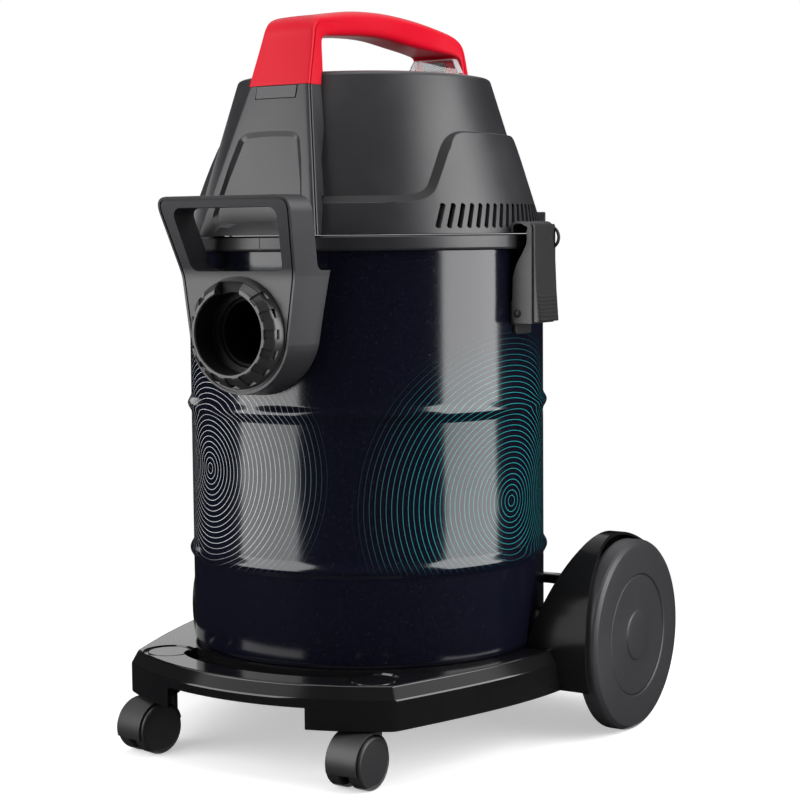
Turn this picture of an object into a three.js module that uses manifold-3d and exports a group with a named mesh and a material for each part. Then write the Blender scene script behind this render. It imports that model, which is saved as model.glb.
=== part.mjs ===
// Wet and dry drum vacuum cleaner on a wheeled dolly.
// Millimetres, +Z up, hose inlet towards -Y. The drum's axis is the Z axis while the
// pieces are built; the finished model is then centred over its own footprint.
import * as THREE from 'three';
import { mergeVertices } from 'three/addons/utils/BufferGeometryUtils.js';
import { ConvexGeometry } from 'three/addons/geometries/ConvexGeometry.js';
import Module from 'manifold-3d';

const wasm = await Module();
wasm.setup();

// ---------------------------------------------------------------- driving dimensions
const fit = 0.3;                    // gap between pieces that seat on each other
const roundLarge = 28;              // facets round the drum and the motor head
const roundMedium = 16;             // facets round wheels and the inlet
const roundSmall = 8;               // facets round pins and shafts

const deckTopZ = 79.5;              // flat deck that the drum stands on
const deckWall = 3;
const deckChamferDrop = 10.5;
const deckChamferOut = 6;
const skirtBottomZ = 45;
const skirtShallowZ = 62;           // lower edge of the skirt between the corner pods
const podInnerX = 67;
const dollyFrontOut = 47;           // front arc, beyond the drum
const dollyCornerX = 122;           // where the front arc ends
const dollyCornerOut = 11;
const dollyCornerBack = 59;
const dollySideMidOut = 2;
const dollySideOut = 16;            // widest place, just ahead of the wheel housings
const dollySideY = 48;
const dollyRearOut = 20;
const deckRecessRadius = 21.3;
const deckRecessInner = 11;
const trayMargin = 19;              // from the crescent tray to the dolly's front edge
const trayDepth = 10.5;
const trayWall = 2.5;
const ribWidth = 2.8;
const railHalfDepth = 5.5;          // rail across the back of the dolly
const railThickness = 9;
const railTopRise = 31.3;           // above the axle

const drumRadius = 150;
const drumWall = 1.2;
const drumHeight = 332.2;
const drumRibHeights = [77.4, 201]; // above the drum's lower edge
const drumRibRise = 3.1;
const drumRibHalfHeight = 8;
const drumBeadRise = 3;             // rolled bead round the drum's mouth
const drumChimeDepth = 8;           // how far the floor is set up inside the chime

const wheelRadius = 80.7;
const wheelWidth = 17.5;
const wheelOut = 60;                // outer face of the rear wheels, beyond the drum
const wheelInset = 75;              // from the dolly's back edge to the axle
const wheelHubRadius = 13;
const axleRadius = 6;
const axleInset = 16;
const axleBossRadius = 12;
const axleBossOut = 17.5;
const wellClearance = 2.9;          // between the tyre and the wheel arch
const archWall = 2.4;
const wellWall = 3;
const wellHeadroom = 8.6;           // from the tyre's top to the top of the housing
const wheelCapRadius = 51;
const wheelCapDepth = 2.2;
const capHubRadius = 21;

const casterRadius = 20.75;
const casterWidth = 33;
const casterTrail = 20;
const casterInset = 21;             // from the dolly's front corner to the caster's stem
const casterBack = 45;              // from the front edge to the caster's stem
const casterWheelThickness = 12.2;
const casterHoodGap = 0.9;
const casterHoodWall = 1.4;
const casterAxleRadius = 2.5;
const casterStemRadius = 5;
const casterSocketRadius = 10;
const casterTurns = { left: -10.5, right: -1 };   // degrees at which the casters stand

const rimProud = 6.6;               // how far the band that closes the drum stands off it
const rimDrop = 3.2;                // how far the band reaches down past the drum's mouth
const rimRise = 8.6;
const rimWall = 3;
const baseThickness = 4;
const spigotDepth = 16;
const spigotWall = 3;
const sealThickness = 1.4;
const intakeRadius = 26;

const coverRise = 128;              // upper motor cover, a blunt cone, above the rim
const coverInset = 10.6;            // foot of the cone, from the rim
const coverSlope = 0.31;
const coverWall = 2.6;
const coverBottomRise = 28.8;
const skirtProud = 5;               // how far the vent housing stands off the cone
const ventHousingRise = 81.9;
const ventHousingWall = 2.6;
const ventHousingLowRise = 30.6;    // its top edge across the front and the back
const ventStepFootY = 105;          // where the step between both heights begins
const ventStepTopY = 34;
const ventCount = 19;
const ventPitch = 8.2;
const ventWidth = 4.2;
const ventTopRise = 24.5;
const ventBottomRise = 4.7;
const ventLean = 8;
const lugInset = 3.6;               // moulded lug behind each latch
const lugHalf = 5;
const lugY = 31;
const lugTopRise = 18.2;
const lugHeight = 12;

const columnTopDrop = 9.6;          // front column below the handle, under the cone's top
const columnTopOut = 18.5;
const columnTopHalf = 28.8;
const columnBottomOut = 4.4;
const columnBottomHalf = 57.5;
const columnWall = 3;
const clipHalf = 19.2;
const clipHeight = 10;
const panelDepth = 1.4;             // shallow recess in the column's face
const rearShelfOut = 35.5;
const rearShelfHalf = 30;
const rearBottomOut = 1.4;
const rearBottomHalf = 42;

const handleRise = 58.4;            // top of the grip above the cone's top
const handleFootHalf = 28.2;
const handleShoulderHalf = 20.8;
const handleGripHalf = 17.5;
const handleFootDepth = 26;
const rearFootDepth = 22;
const switchX = -3;
const switchRise = 15;
const switchBodyHalf = 9;
const switchBezelHalf = 11.5;

const inletRise = 266.2;            // axis of the hose socket above the drum's lower edge
const inletBore = 63.6;             // mouth of the hose socket
const inletHoleRadius = 29;
const throatRadius = 28;            // passage behind the hose socket
const elbowGap = 0.9;
const elbowWall = 2;
const inletFaceOut = 30;            // face of the hose socket, beyond the drum
const inletBodyRadius = 48;
const inletShoulderRise = 44;
const inletShoulderHalf = 54.5;
const loopRise = 105.5;
const loopTopHalf = 62.4;
const loopWindowHalf = 46.5;
const loopLeanOut = 20.5;
const gasketThickness = 1.2;
const collarDepth = 14;
const collarOuterRadius = 44;
const collarWindows = 16;
const collarSleeve = 3;             // wall of the sleeve that seats in the housing
const collarSleeveDepth = 8;
const keywayHalf = 12;

const glandRise = 25.4;             // cable gland in the rear column, above the rim
const glandRadius = 6;
const leadNotchHalf = 4.2;

const latchPinOut = 0.4;            // from the rim
const latchPinDrop = 63.6;          // below the rim's top
const latchPinRadius = 2.2;
const latchHalfWidth = 18.8;
const latchPlate = 2;
const latchFaceOut = 13.2;
const latchTopRise = 9.9;
const latchTail = 7;                // below the pin
const leverPlate = 1.8;
const leverRibs = 6;
const leverRibPitch = 3.6;
const knuckleRadius = 6;            // rounding of the hook about the lever's hinge

const motorRadius = 44;
const motorHeight = 66;
const fanCasingRadius = 66;
const fanCasingHeight = 24;
const suctionBlades = 7;
const coolingBlades = 8;
const shaftRadius = 5;
const cageRadius = 55;
const cageDrop = 94;                // below the drum's mouth
const cageWindows = 6;
const floatRadius = 30;
const floatHeight = 40;
const fanGap = 6;

// ---------------------------------------------------------------- places that follow
const rimRadius = drumRadius + rimProud;
const coverTopRadius = rimRadius - coverInset - coverSlope * coverRise;
const columnTopY = -(coverTopRadius + columnTopOut);
const columnBottomY = -(rimRadius + columnBottomOut);
const rearShelfY = coverTopRadius + rearShelfOut;
const rearBottomY = rimRadius + rearBottomOut;
const rearFootFrontY = rearShelfY - rearFootDepth;
const inletFaceY = -(drumRadius + inletFaceOut);
const dollyFrontRadius = drumRadius + dollyFrontOut;
const dollyCornerOutX = dollyCornerX + dollyCornerOut;
const dollyCornerOutY = dollyCornerBack - dollyFrontRadius;
const dollySideMidX = drumRadius + dollySideMidOut;
const dollySideX = drumRadius + dollySideOut;
const dollyTailHalf = drumRadius;
const dollyRearY = drumRadius + dollyRearOut;
const trayOuterRadius = dollyFrontRadius - trayMargin;
const wheelY = dollyRearY - wheelInset;
const wellTopZ = 2 * wheelRadius + wellHeadroom;
const railTopZ = wheelRadius + railTopRise;
const wheelOuterX = drumRadius + wheelOut;
const axleInnerX = drumRadius - axleInset;
const axleBossOuterX = drumRadius + axleBossOut;
const casterX = dollyCornerX - casterInset;
const casterY = casterBack - dollyFrontRadius;
const latchPinX = rimRadius + latchPinOut;
const latchFaceX = rimRadius + latchFaceOut;
const drumBottomZ = deckTopZ + fit;
const drumFloorZ = drumBottomZ + drumChimeDepth;
const drumTopZ = drumBottomZ + drumHeight;
const rimBottomZ = drumTopZ - rimDrop;
const rimTopZ = drumTopZ + rimRise;
const coverTopZ = rimTopZ + coverRise;
const coverBottomZ = rimTopZ + coverBottomRise;
const ventHousingTopZ = rimTopZ + ventHousingRise;
const ventHousingLowZ = rimTopZ + ventHousingLowRise;
const ventTopZ = rimTopZ + ventTopRise;
const ventBottomZ = rimTopZ + ventBottomRise;
const columnTopZ = coverTopZ - columnTopDrop;
const clipLowZ = columnTopZ - clipHeight;
const rearShelfZ = coverTopZ + 1;
const handleTopZ = coverTopZ + handleRise;
const switchZ = rearShelfZ + switchRise;
const inletZ = drumBottomZ + inletRise;
const inletShoulderZ = inletZ + inletShoulderRise;
const loopTopZ = inletZ + loopRise;
const glandZ = rimTopZ + glandRise;
const latchPinZ = rimTopZ - latchPinDrop;
const latchTopZ = rimTopZ + latchTopRise;
const latchBottomZ = latchPinZ - latchTail;
const knuckleZ = latchTopZ - knuckleRadius;
const cageBottomZ = drumTopZ - cageDrop;

// ---------------------------------------------------------------- materials
const plastic = (color, roughness) => new THREE.MeshStandardMaterial({ color, roughness, metalness: 0 });
const metal = (color, roughness) => new THREE.MeshStandardMaterial({ color, roughness, metalness: 1 });
const satinBlack = plastic(0x1c1d1f, 0.45);
const glossBlack = plastic(0x0b0b0d, 0.08);
const drumPaint = new THREE.MeshStandardMaterial({ color: 0x0c0d18, roughness: 0.12, metalness: 0.2 });
const redPlastic = plastic(0xd8141c, 0.35);
const wheelPlastic = plastic(0x26282b, 0.55);
const clearPlastic = new THREE.MeshStandardMaterial({ color: 0xdfe4e6, roughness: 0.1, opacity: 0.4 });
const rubber = plastic(0x141414, 0.85);
const steel = metal(0x9a9da0, 0.3);
const copper = metal(0x8a5a3a, 0.5);
const whitePlastic = plastic(0xd9dadb, 0.5);
const filterCloth = plastic(0xcfcabc, 0.95);

// ---------------------------------------------------------------- shared geometry tools
function signedVolume(position, index) {
  const a = new THREE.Vector3();
  const b = new THREE.Vector3();
  const c = new THREE.Vector3();
  let volume = 0;
  for (let i = 0; i < index.length; i += 3) {
    a.fromArray(position, 3 * index[i]);
    b.fromArray(position, 3 * index[i + 1]);
    c.fromArray(position, 3 * index[i + 2]);
    volume += a.dot(b.cross(c)) / 6;
  }
  return volume;
}

// A closed three.js geometry as a manifold solid, with its faces pointing out.
function solid(geometry) {
  const bare = geometry.clone();
  bare.deleteAttribute('normal');
  bare.deleteAttribute('uv');
  const merged = mergeVertices(bare, 1e-4);
  const position = new Float32Array(merged.attributes.position.array);
  const source = merged.index.array;
  const index = [];
  for (let i = 0; i < source.length; i += 3) {
    const [a, b, c] = [source[i], source[i + 1], source[i + 2]];
    if (a !== b && b !== c && c !== a) index.push(a, b, c);
  }
  if (signedVolume(position, index) < 0) index.reverse();
  return new wasm.Manifold(new wasm.Mesh({
    numProp: 3,
    vertProperties: position,
    triVerts: new Uint32Array(index),
  }));
}

// A solid of revolution. The profile is a list of [radius, height] pairs.
function turned(profile, facets, axis = 'z') {
  const closed = profile[0][0] === 0 ? profile : [...profile, profile[0]];
  const geometry = new THREE.LatheGeometry(closed.map(([r, h]) => new THREE.Vector2(r, h)), facets);
  if (axis === 'z') geometry.rotateX(Math.PI / 2);
  if (axis === 'x') geometry.rotateZ(-Math.PI / 2);
  return geometry;
}

const turnedSolid = (profile, facets, axis) => solid(turned(profile, facets, axis));

function disc(radius, low, high, facets, axis = 'z') {
  return turned([[0, low], [radius, low], [radius, high], [0, high]], facets, axis);
}

function ring(inner, outer, low, high, facets, axis = 'z') {
  return turned([[inner, low], [outer, low], [outer, high], [inner, high]], facets, axis);
}

function outline(points) {
  return new THREE.Shape(points.map(([u, v]) => new THREE.Vector2(u, v)));
}

// A straight prism. Its outline lies in the plane across the axis: XY, XZ or YZ.
function prism(shape, axis, from, to, curveSegments = 6) {
  const profile = Array.isArray(shape) ? outline(shape) : shape;
  const depth = to - from;
  const geometry = new THREE.ExtrudeGeometry(profile, { depth, bevelEnabled: false, curveSegments });
  if (axis === 'z') geometry.translate(0, 0, from);
  if (axis === 'y') geometry.rotateX(Math.PI / 2).translate(0, to, 0);
  if (axis === 'x') {
    const turn = new THREE.Matrix4().makeBasis(
      new THREE.Vector3(0, 1, 0),
      new THREE.Vector3(0, 0, 1),
      new THREE.Vector3(1, 0, 0),
    );
    geometry.applyMatrix4(turn).translate(from, 0, 0);
  }
  return geometry;
}

const prismSolid = (...measures) => solid(prism(...measures));

function box(x0, x1, y0, y1, z0, z1) {
  const geometry = new THREE.BoxGeometry(x1 - x0, y1 - y0, z1 - z0);
  return geometry.translate((x0 + x1) / 2, (y0 + y1) / 2, (z0 + z1) / 2);
}

const boxSolid = (...sides) => solid(box(...sides));

// The convex body through a few corner points, mirrored to both sides of X = 0.
function mirroredHull(corners) {
  const points = corners.flatMap(([x, y, z]) => [new THREE.Vector3(x, y, z), new THREE.Vector3(-x, y, z)]);
  return solid(new ConvexGeometry(points));
}

function roundedRectangle(halfWidth, low, high, radius) {
  const shape = new THREE.Shape();
  shape.moveTo(-halfWidth + radius, low);
  shape.lineTo(halfWidth - radius, low);
  shape.quadraticCurveTo(halfWidth, low, halfWidth, low + radius);
  shape.lineTo(halfWidth, high - radius);
  shape.quadraticCurveTo(halfWidth, high, halfWidth - radius, high);
  shape.lineTo(-halfWidth + radius, high);
  shape.quadraticCurveTo(-halfWidth, high, -halfWidth, high - radius);
  shape.lineTo(-halfWidth, low + radius);
  shape.quadraticCurveTo(-halfWidth, low, -halfWidth + radius, low);
  return shape;
}

const vacuum = new THREE.Group();

// A named piece of the vacuum. A mirrored one is the same solid on the other side of X = 0.
function piece(name, body, material, { mirrored = false, parent = vacuum } = {}) {
  const { vertProperties, triVerts, numProp } = body.getMesh();
  const position = new Float32Array((vertProperties.length / numProp) * 3);
  for (let i = 0; i < position.length / 3; i += 1) {
    position[3 * i] = vertProperties[numProp * i] * (mirrored ? -1 : 1);
    position[3 * i + 1] = vertProperties[numProp * i + 1];
    position[3 * i + 2] = vertProperties[numProp * i + 2];
  }
  const geometry = new THREE.BufferGeometry();
  geometry.setAttribute('position', new THREE.BufferAttribute(position, 3));
  geometry.setIndex(mirrored ? [...triVerts].reverse() : [...triVerts]);
  geometry.computeVertexNormals();
  const mesh = new THREE.Mesh(geometry, material);
  mesh.name = name;
  parent.add(mesh);
  return mesh;
}

// ---------------------------------------------------------------- drum
function drumWallLine(offset) {
  const line = [];
  for (const ribZ of drumRibHeights) {
    for (const step of [-1, -0.4, 0.4, 1]) {
      const rise = drumRibRise * 0.5 * (1 + Math.cos(Math.PI * step));
      line.push([drumRadius + rise - offset, drumBottomZ + ribZ + drumRibHalfHeight * step]);
    }
  }
  return line;
}

function drumShell() {
  const beadRadius = drumRadius + drumBeadRise;
  const outside = [
    [0, drumFloorZ],
    [drumRadius - drumChimeDepth, drumFloorZ],
    [drumRadius - drumChimeDepth, drumBottomZ],
    [drumRadius - 2, drumBottomZ],
    [drumRadius, drumBottomZ + 4],
    ...drumWallLine(0),
    [drumRadius, drumTopZ - 7],
    [beadRadius, drumTopZ - 5],
    [beadRadius, drumTopZ - 1],
    [beadRadius - 1.2, drumTopZ],
    [drumRadius - drumWall, drumTopZ],
  ];
  const inside = [
    ...drumWallLine(drumWall).reverse(),
    [drumRadius - drumWall, drumFloorZ + drumWall],
    [0, drumFloorZ + drumWall],
  ];
  const shell = turnedSolid([...outside, ...inside], roundLarge);
  const inletHole = disc(inletHoleRadius, -drumRadius - 20, -drumRadius + 30, roundMedium, 'y');
  return shell.subtract(solid(inletHole.translate(0, 0, inletZ)));
}

// ---------------------------------------------------------------- hose inlet
// The round body below flares up to the shoulders that carry the loop handle.
function inletFrontOutline() {
  const shape = new THREE.Shape();
  const wrap = 0.18;
  shape.moveTo(loopTopHalf - 10, loopTopZ);
  shape.lineTo(-loopTopHalf + 10, loopTopZ);
  shape.quadraticCurveTo(-loopTopHalf, loopTopZ, -loopTopHalf, loopTopZ - 11);
  shape.lineTo(-inletShoulderHalf, inletShoulderZ);
  shape.lineTo(-inletBodyRadius * Math.cos(wrap), inletZ - inletBodyRadius * Math.sin(wrap));
  shape.absarc(0, inletZ, inletBodyRadius, Math.PI + wrap, 2 * Math.PI - wrap, false);
  shape.lineTo(inletShoulderHalf, inletShoulderZ);
  shape.lineTo(loopTopHalf, loopTopZ - 11);
  shape.quadraticCurveTo(loopTopHalf, loopTopZ, loopTopHalf - 10, loopTopZ);
  return shape;
}

function inletHousing() {
  const drumSide = -drumRadius + 40;
  const sideOutline = [
    [inletFaceY, inletZ - inletBodyRadius - 2],
    [drumSide, inletZ - inletBodyRadius - 2],
    [drumSide, inletShoulderZ + 4],
    [-drumRadius, inletShoulderZ + 4],
    [-drumRadius - 3.5, inletShoulderZ + 6.5],
    [-drumRadius - 7, inletShoulderZ + 12],
    [inletFaceY + 3, loopTopZ + 2],
    [inletFaceY - loopLeanOut - 1, loopTopZ + 2],
    [inletFaceY, inletShoulderZ + 2],
  ];
  const window = roundedRectangle(loopWindowHalf, inletShoulderZ + 3.5, loopTopZ - 9, 8);
  const saddleRadius = drumRadius + fit + gasketThickness + fit;
  const seatRadius = inletBore / 2 + collarSleeve + fit;
  const farY = inletFaceY - 50;
  const socket = disc(seatRadius, farY, inletFaceY + collarSleeveDepth, roundMedium, 'y');
  const bore = disc(inletBore / 2, farY, inletFaceY + 12, roundMedium, 'y').translate(0, 0, inletZ);
  const throat = disc(throatRadius, inletFaceY - 20, drumSide, roundMedium, 'y').translate(0, 0, inletZ);
  return prismSolid(inletFrontOutline(), 'y', farY, drumSide, 8)
    .intersect(prismSolid(sideOutline, 'x', -80, 80))
    .subtract(prismSolid(window, 'y', farY, drumSide, 3))
    .subtract(solid(disc(saddleRadius, inletZ - 100, loopTopZ + 10, roundLarge)))
    .subtract(solid(socket.translate(0, 0, inletZ)))
    .subtract(solid(bore))
    .subtract(solid(throat));
}

// Rubber saddle between the housing and the drum wall.
function inletGasket() {
  const inner = drumRadius + fit;
  const saddle = solid(ring(inner, inner + gasketThickness, inletZ - 80, inletZ + 80, roundLarge));
  const hole = inletHoleRadius + 1;
  const washer = ring(hole, hole + 10, -drumRadius - 20, 30 - drumRadius, roundMedium, 'y');
  return saddle.intersect(solid(washer.translate(0, 0, inletZ)));
}

// Bayonet collar: a rounded ring with a keyway at the top and a row of catch windows.
function inletCollar() {
  const back = inletFaceY - fit;
  const front = back - collarDepth;
  const mouth = inletBore / 2;
  const profile = [
    [mouth, back + collarSleeveDepth],
    [mouth, front + 1],
    [mouth + 1, front],
    [mouth + 3.6, front],
    [mouth + 7, front + 2.6],
    [mouth + 10, front + 7.5],
    [collarOuterRadius, back],
    [mouth + collarSleeve, back],
    [mouth + collarSleeve, back + collarSleeveDepth],
  ];
  let collar = turnedSolid(profile, roundMedium, 'y');
  const keyway = box(-keywayHalf, keywayHalf, front - 2, front + 9, mouth - 6, mouth + 8);
  collar = collar.subtract(solid(keyway));
  for (let i = 2; i <= collarWindows - 2; i += 1) {
    const window = box(-2.6, 2.6, front + 3, front + 9, mouth + 2.4, mouth + 12);
    window.rotateY((2 * Math.PI * i) / collarWindows);
    collar = collar.subtract(solid(window));
  }
  return collar;
}

// The tube that carries the dirt through the wall and turns it down into the drum.
function inletElbow() {
  const path = new THREE.CatmullRomCurve3([
    new THREE.Vector3(0, inletFaceY + 14, inletZ),
    new THREE.Vector3(0, -drumRadius, inletZ),
    new THREE.Vector3(0, 16 - drumRadius, inletZ - 2),
    new THREE.Vector3(0, 31 - drumRadius, inletZ - 12),
    new THREE.Vector3(0, 40 - drumRadius, inletZ - 28),
  ]);
  const section = new THREE.Shape();
  section.absarc(0, 0, throatRadius - elbowGap, 0, 2 * Math.PI, false);
  const hollow = new THREE.Path();
  hollow.absarc(0, 0, throatRadius - elbowGap - elbowWall, 0, 2 * Math.PI, true);
  section.holes.push(hollow);
  return solid(new THREE.ExtrudeGeometry(section, { steps: 6, extrudePath: path, curveSegments: 6 }));
}

// ---------------------------------------------------------------- dolly
// The deck's edge: an arc round the drum in front, gently bowed sides, a straight back.
function deckOutline() {
  const corner = Math.asin(dollyCornerX / dollyFrontRadius);
  const frontY = -dollyFrontRadius * Math.cos(corner);
  const half = dollyTailHalf;
  const shape = new THREE.Shape();
  shape.moveTo(-half + 10, dollyRearY);
  shape.quadraticCurveTo(-half, dollyRearY, -half, dollyRearY - 10);
  shape.lineTo(-half, dollySideY + 22);
  shape.lineTo(-dollySideX, dollySideY);
  shape.quadraticCurveTo(-dollySideMidX, -60, -dollyCornerOutX, dollyCornerOutY);
  shape.quadraticCurveTo(2 - dollyCornerOutX, dollyCornerOutY - 10, -dollyCornerX, frontY);
  shape.absarc(0, 0, dollyFrontRadius, -Math.PI / 2 - corner, -Math.PI / 2 + corner, false);
  shape.quadraticCurveTo(dollyCornerOutX - 2, dollyCornerOutY - 10, dollyCornerOutX, dollyCornerOutY);
  shape.quadraticCurveTo(dollySideMidX, -60, dollySideX, dollySideY);
  shape.lineTo(half, dollySideY + 22);
  shape.lineTo(half, dollyRearY - 10);
  shape.quadraticCurveTo(half, dollyRearY, half - 10, dollyRearY);
  return shape;
}

// A tray with a chamfered upper edge, solid below, whose skirt stands `out` beyond the deck.
function trayBody(topZ, drop, out) {
  const geometry = new THREE.ExtrudeGeometry(deckOutline(), {
    depth: topZ - skirtBottomZ,
    bevelThickness: drop,
    bevelSize: out,
    bevelSegments: 1,
    curveSegments: 4,
  });
  geometry.translate(0, 0, topZ - drop - (topZ - skirtBottomZ));
  return solid(geometry).subtract(boxSolid(-300, 300, -300, 300, -100, skirtBottomZ));
}

// The wheel housing leans out towards its top and is open towards the wheel.
function wellOutline(wall) {
  return [
    [dollyTailHalf + wall, skirtBottomZ - 20],
    [dollyTailHalf + wall, wellTopZ - 85],
    [dollyTailHalf + 10 + wall, wellTopZ - 56],
    [dollyTailHalf + 25 + wall, wellTopZ - 13],
    [dollyTailHalf + 28.5 + wall, wellTopZ],
    ...(wall > 0
      ? [[wheelOuterX + 30, wellTopZ], [wheelOuterX + 30, skirtBottomZ - 20]]
      : [
        [wheelOuterX - 23, wellTopZ],
        [wheelOuterX - 19.5, wellTopZ - 7],
        [wheelOuterX - 14, wellTopZ - 20],
        [wheelOuterX - 9.5, wellTopZ - 45],
        [wheelOuterX - 7, wellTopZ - 75],
        [wheelOuterX - 7, skirtBottomZ - 20],
      ]),
  ];
}

function wheelWell(hollow) {
  const radius = wheelRadius + wellClearance + (hollow ? 0 : archWall);
  const drumOfWheel = disc(radius, 100, 260, roundLarge, 'x').translate(0, wheelY, wheelRadius);
  const section = prismSolid(wellOutline(hollow ? wellWall : 0), 'y', 0, 200);
  const low = boxSolid(0, 300, -100, 300, -100, skirtBottomZ);
  const well = solid(drumOfWheel).intersect(section);
  return hollow ? well : well.subtract(low);
}

function casterSocket(side) {
  const socket = disc(casterSocketRadius, skirtBottomZ + 0.4, deckTopZ - 1, roundSmall);
  return solid(socket.translate(side * casterX, casterY, 0));
}

// The radius of a bore whose flats stay clear of a round pin that turns in it.
const turningBore = (pinRadius, facets) => (pinRadius + fit) / Math.cos(Math.PI / facets);

function casterSocketBore(side) {
  const bore = disc(turningBore(casterStemRadius, roundSmall), 0, deckTopZ - 8, roundSmall);
  return solid(bore.translate(side * casterX, casterY, 0));
}

function deckRecess(side) {
  const groove = ring(deckRecessInner, deckRecessRadius, deckTopZ - 1.8, deckTopZ + 2, roundMedium);
  return solid(groove.translate(side * casterX, casterY + 3, 0));
}

// Crescent between the drum and the front edge: a shallow catch tray sunk into the deck.
function crescent(inset) {
  const shape = new THREE.Shape();
  const inner = drumRadius + 3 + inset;
  const outer = trayOuterRadius - inset;
  const spread = 0.62 - inset / 150;
  const down = -Math.PI / 2;
  const endX = inner * Math.cos(down - spread);
  const endY = inner * Math.sin(down - spread);
  shape.absarc(0, 0, inner, down - spread, down + spread, false);
  shape.quadraticCurveTo(outer * 0.56, -outer * 0.86, outer * 0.3, -outer * 0.965);
  shape.absarc(0, 0, outer, down + 0.3, down - 0.3, true);
  shape.quadraticCurveTo(-outer * 0.56, -outer * 0.86, endX, endY);
  return shape;
}

function axleBoss() {
  const boss = disc(axleBossRadius, axleInnerX, axleBossOuterX, roundSmall, 'x');
  return solid(boss.translate(0, wheelY, wheelRadius));
}

function axleBore() {
  const bore = disc(axleRadius + fit, axleInnerX - 5, axleBossOuterX + 5, roundSmall, 'x');
  return solid(bore.translate(0, wheelY, wheelRadius));
}

function onBothSides(body) {
  return body.add(body.mirror([1, 0, 0]));
}

function dollyBase() {
  const cavity = trayBody(deckTopZ - deckWall, deckChamferDrop - 1, deckChamferOut - deckWall);
  const shallowFront = boxSolid(-podInnerX, podInnerX, -300, -120, -10, skirtShallowZ);
  const tailInner = dollyTailHalf - 10;
  const shallowBack = boxSolid(-tailInner, tailInner, dollyRearY - 60, 300, -10, skirtShallowZ);
  const trayFloorZ = deckTopZ - trayDepth;
  const catchTray = prismSolid(crescent(0), 'z', trayFloorZ - trayWall, deckTopZ - 0.5, 5);
  const catchHollow = prismSolid(crescent(trayWall), 'z', trayFloorZ, deckTopZ + 5, 5);
  const plugRadius = drumRadius - drumChimeDepth - 1;
  const plugRing = ring(plugRadius - 8, plugRadius, deckTopZ - 2, drumFloorZ - fit, roundLarge);
  const rail = roundedRectangle(railHalfDepth, railTopZ - railThickness, railTopZ, 3);
  const railBody = prism(rail, 'x', 1 - dollySideX, dollySideX - 1, 3).translate(0, dollyRearY - 4.5, 0);
  const ribLowZ = skirtShallowZ - 4;
  const ribHalf = ribWidth / 2;
  const ribReach = dollyTailHalf - 15;
  let ribs = boxSolid(-ribHalf, ribHalf, -140, dollyRearY - 10, ribLowZ, deckTopZ - 1);
  for (const ribY of [-95, 0, 60]) {
    ribs = ribs.add(boxSolid(-ribReach, ribReach, ribY - ribHalf, ribY + ribHalf, ribLowZ, deckTopZ - 1));
  }
  let body = trayBody(deckTopZ, deckChamferDrop, deckChamferOut)
    .subtract(cavity)
    .subtract(shallowFront)
    .subtract(shallowBack)
    .add(catchTray)
    .add(solid(plugRing))
    .add(ribs)
    .add(solid(railBody))
    .add(onBothSides(wheelWell(false)))
    .subtract(onBothSides(wheelWell(true)))
    .add(onBothSides(axleBoss()))
    .subtract(onBothSides(axleBore()))
    .subtract(catchHollow);
  for (const side of [-1, 1]) {
    body = body.add(casterSocket(side)).subtract(casterSocketBore(side)).subtract(deckRecess(side));
  }
  return body;
}

// ---------------------------------------------------------------- rear wheels
const hubInnerX = axleBossOuterX + fit;
const hubOuterX = wheelOuterX - 7;

function rearWheel() {
  const treadInnerX = wheelOuterX - wheelWidth;
  const capSeatX = wheelOuterX - wheelCapDepth - fit;
  const wheel = turnedSolid([
    [axleRadius + fit, hubInnerX],
    [wheelHubRadius, hubInnerX],
    [wheelHubRadius, treadInnerX + 5],
    [wheelRadius - 10, treadInnerX + 5],
    [wheelRadius - 6, treadInnerX],
    [wheelRadius, treadInnerX + 1],
    [wheelRadius, wheelOuterX - 3.4],
    [wheelRadius - 3, wheelOuterX],
    [wheelCapRadius + fit, wheelOuterX],
    [wheelCapRadius + fit, capSeatX],
    [wheelHubRadius + 2, capSeatX],
    [wheelHubRadius + 2, hubOuterX],
    [axleRadius + fit, hubOuterX],
  ], roundLarge, 'x');
  return wheel;
}

function wheelCap() {
  const back = wheelOuterX - wheelCapDepth;
  return turnedSolid([
    [0, back],
    [wheelCapRadius, back],
    [wheelCapRadius, wheelOuterX - 1.2],
    [wheelCapRadius - 1, wheelOuterX - 0.7],
    [capHubRadius, wheelOuterX - 0.7],
    [capHubRadius - 2, wheelOuterX + 0.6],
    [0, wheelOuterX + 1],
  ], roundLarge, 'x');
}

// A stub axle with a retaining head under the hub cap.
function rearAxle() {
  return turnedSolid([
    [0, axleInnerX],
    [axleRadius, axleInnerX],
    [axleRadius, hubOuterX + fit],
    [wheelHubRadius - 1, hubOuterX + fit],
    [wheelHubRadius - 1, hubOuterX + 2.2],
    [0, hubOuterX + 2.2],
  ], roundSmall, 'x');
}

function rearWheels() {
  for (const side of ['left', 'right']) {
    const mirrored = side === 'left';
    const parts = [
      piece(`rear_wheel_${side}`, rearWheel(), wheelPlastic, { mirrored }),
      piece(`wheel_cap_${side}`, wheelCap(), wheelPlastic, { mirrored }),
      piece(`rear_axle_${side}`, rearAxle(), steel, { mirrored }),
    ];
    for (const part of parts) part.position.set(0, wheelY, wheelRadius);
  }
}

// ---------------------------------------------------------------- casters
// A caster's own frame: its stem stands on the origin and its axle lies at Y = -trail.
const casterHalf = casterWidth / 2;
const hoodInner = casterRadius + casterHoodGap;
const hoodOuter = hoodInner + casterHoodWall;
const hoodHalf = casterHalf - 2.6;
const webHalf = casterHalf - casterWheelThickness - fit;

function sector(inner, outer, fromDegrees, toDegrees) {
  const from = THREE.MathUtils.degToRad(fromDegrees);
  const to = THREE.MathUtils.degToRad(toDegrees);
  const shape = new THREE.Shape();
  shape.absarc(0, 0, outer, from, to, false);
  if (inner > 0) shape.absarc(0, 0, inner, to, from, true);
  else shape.lineTo(0, 0);
  return shape;
}

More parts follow.
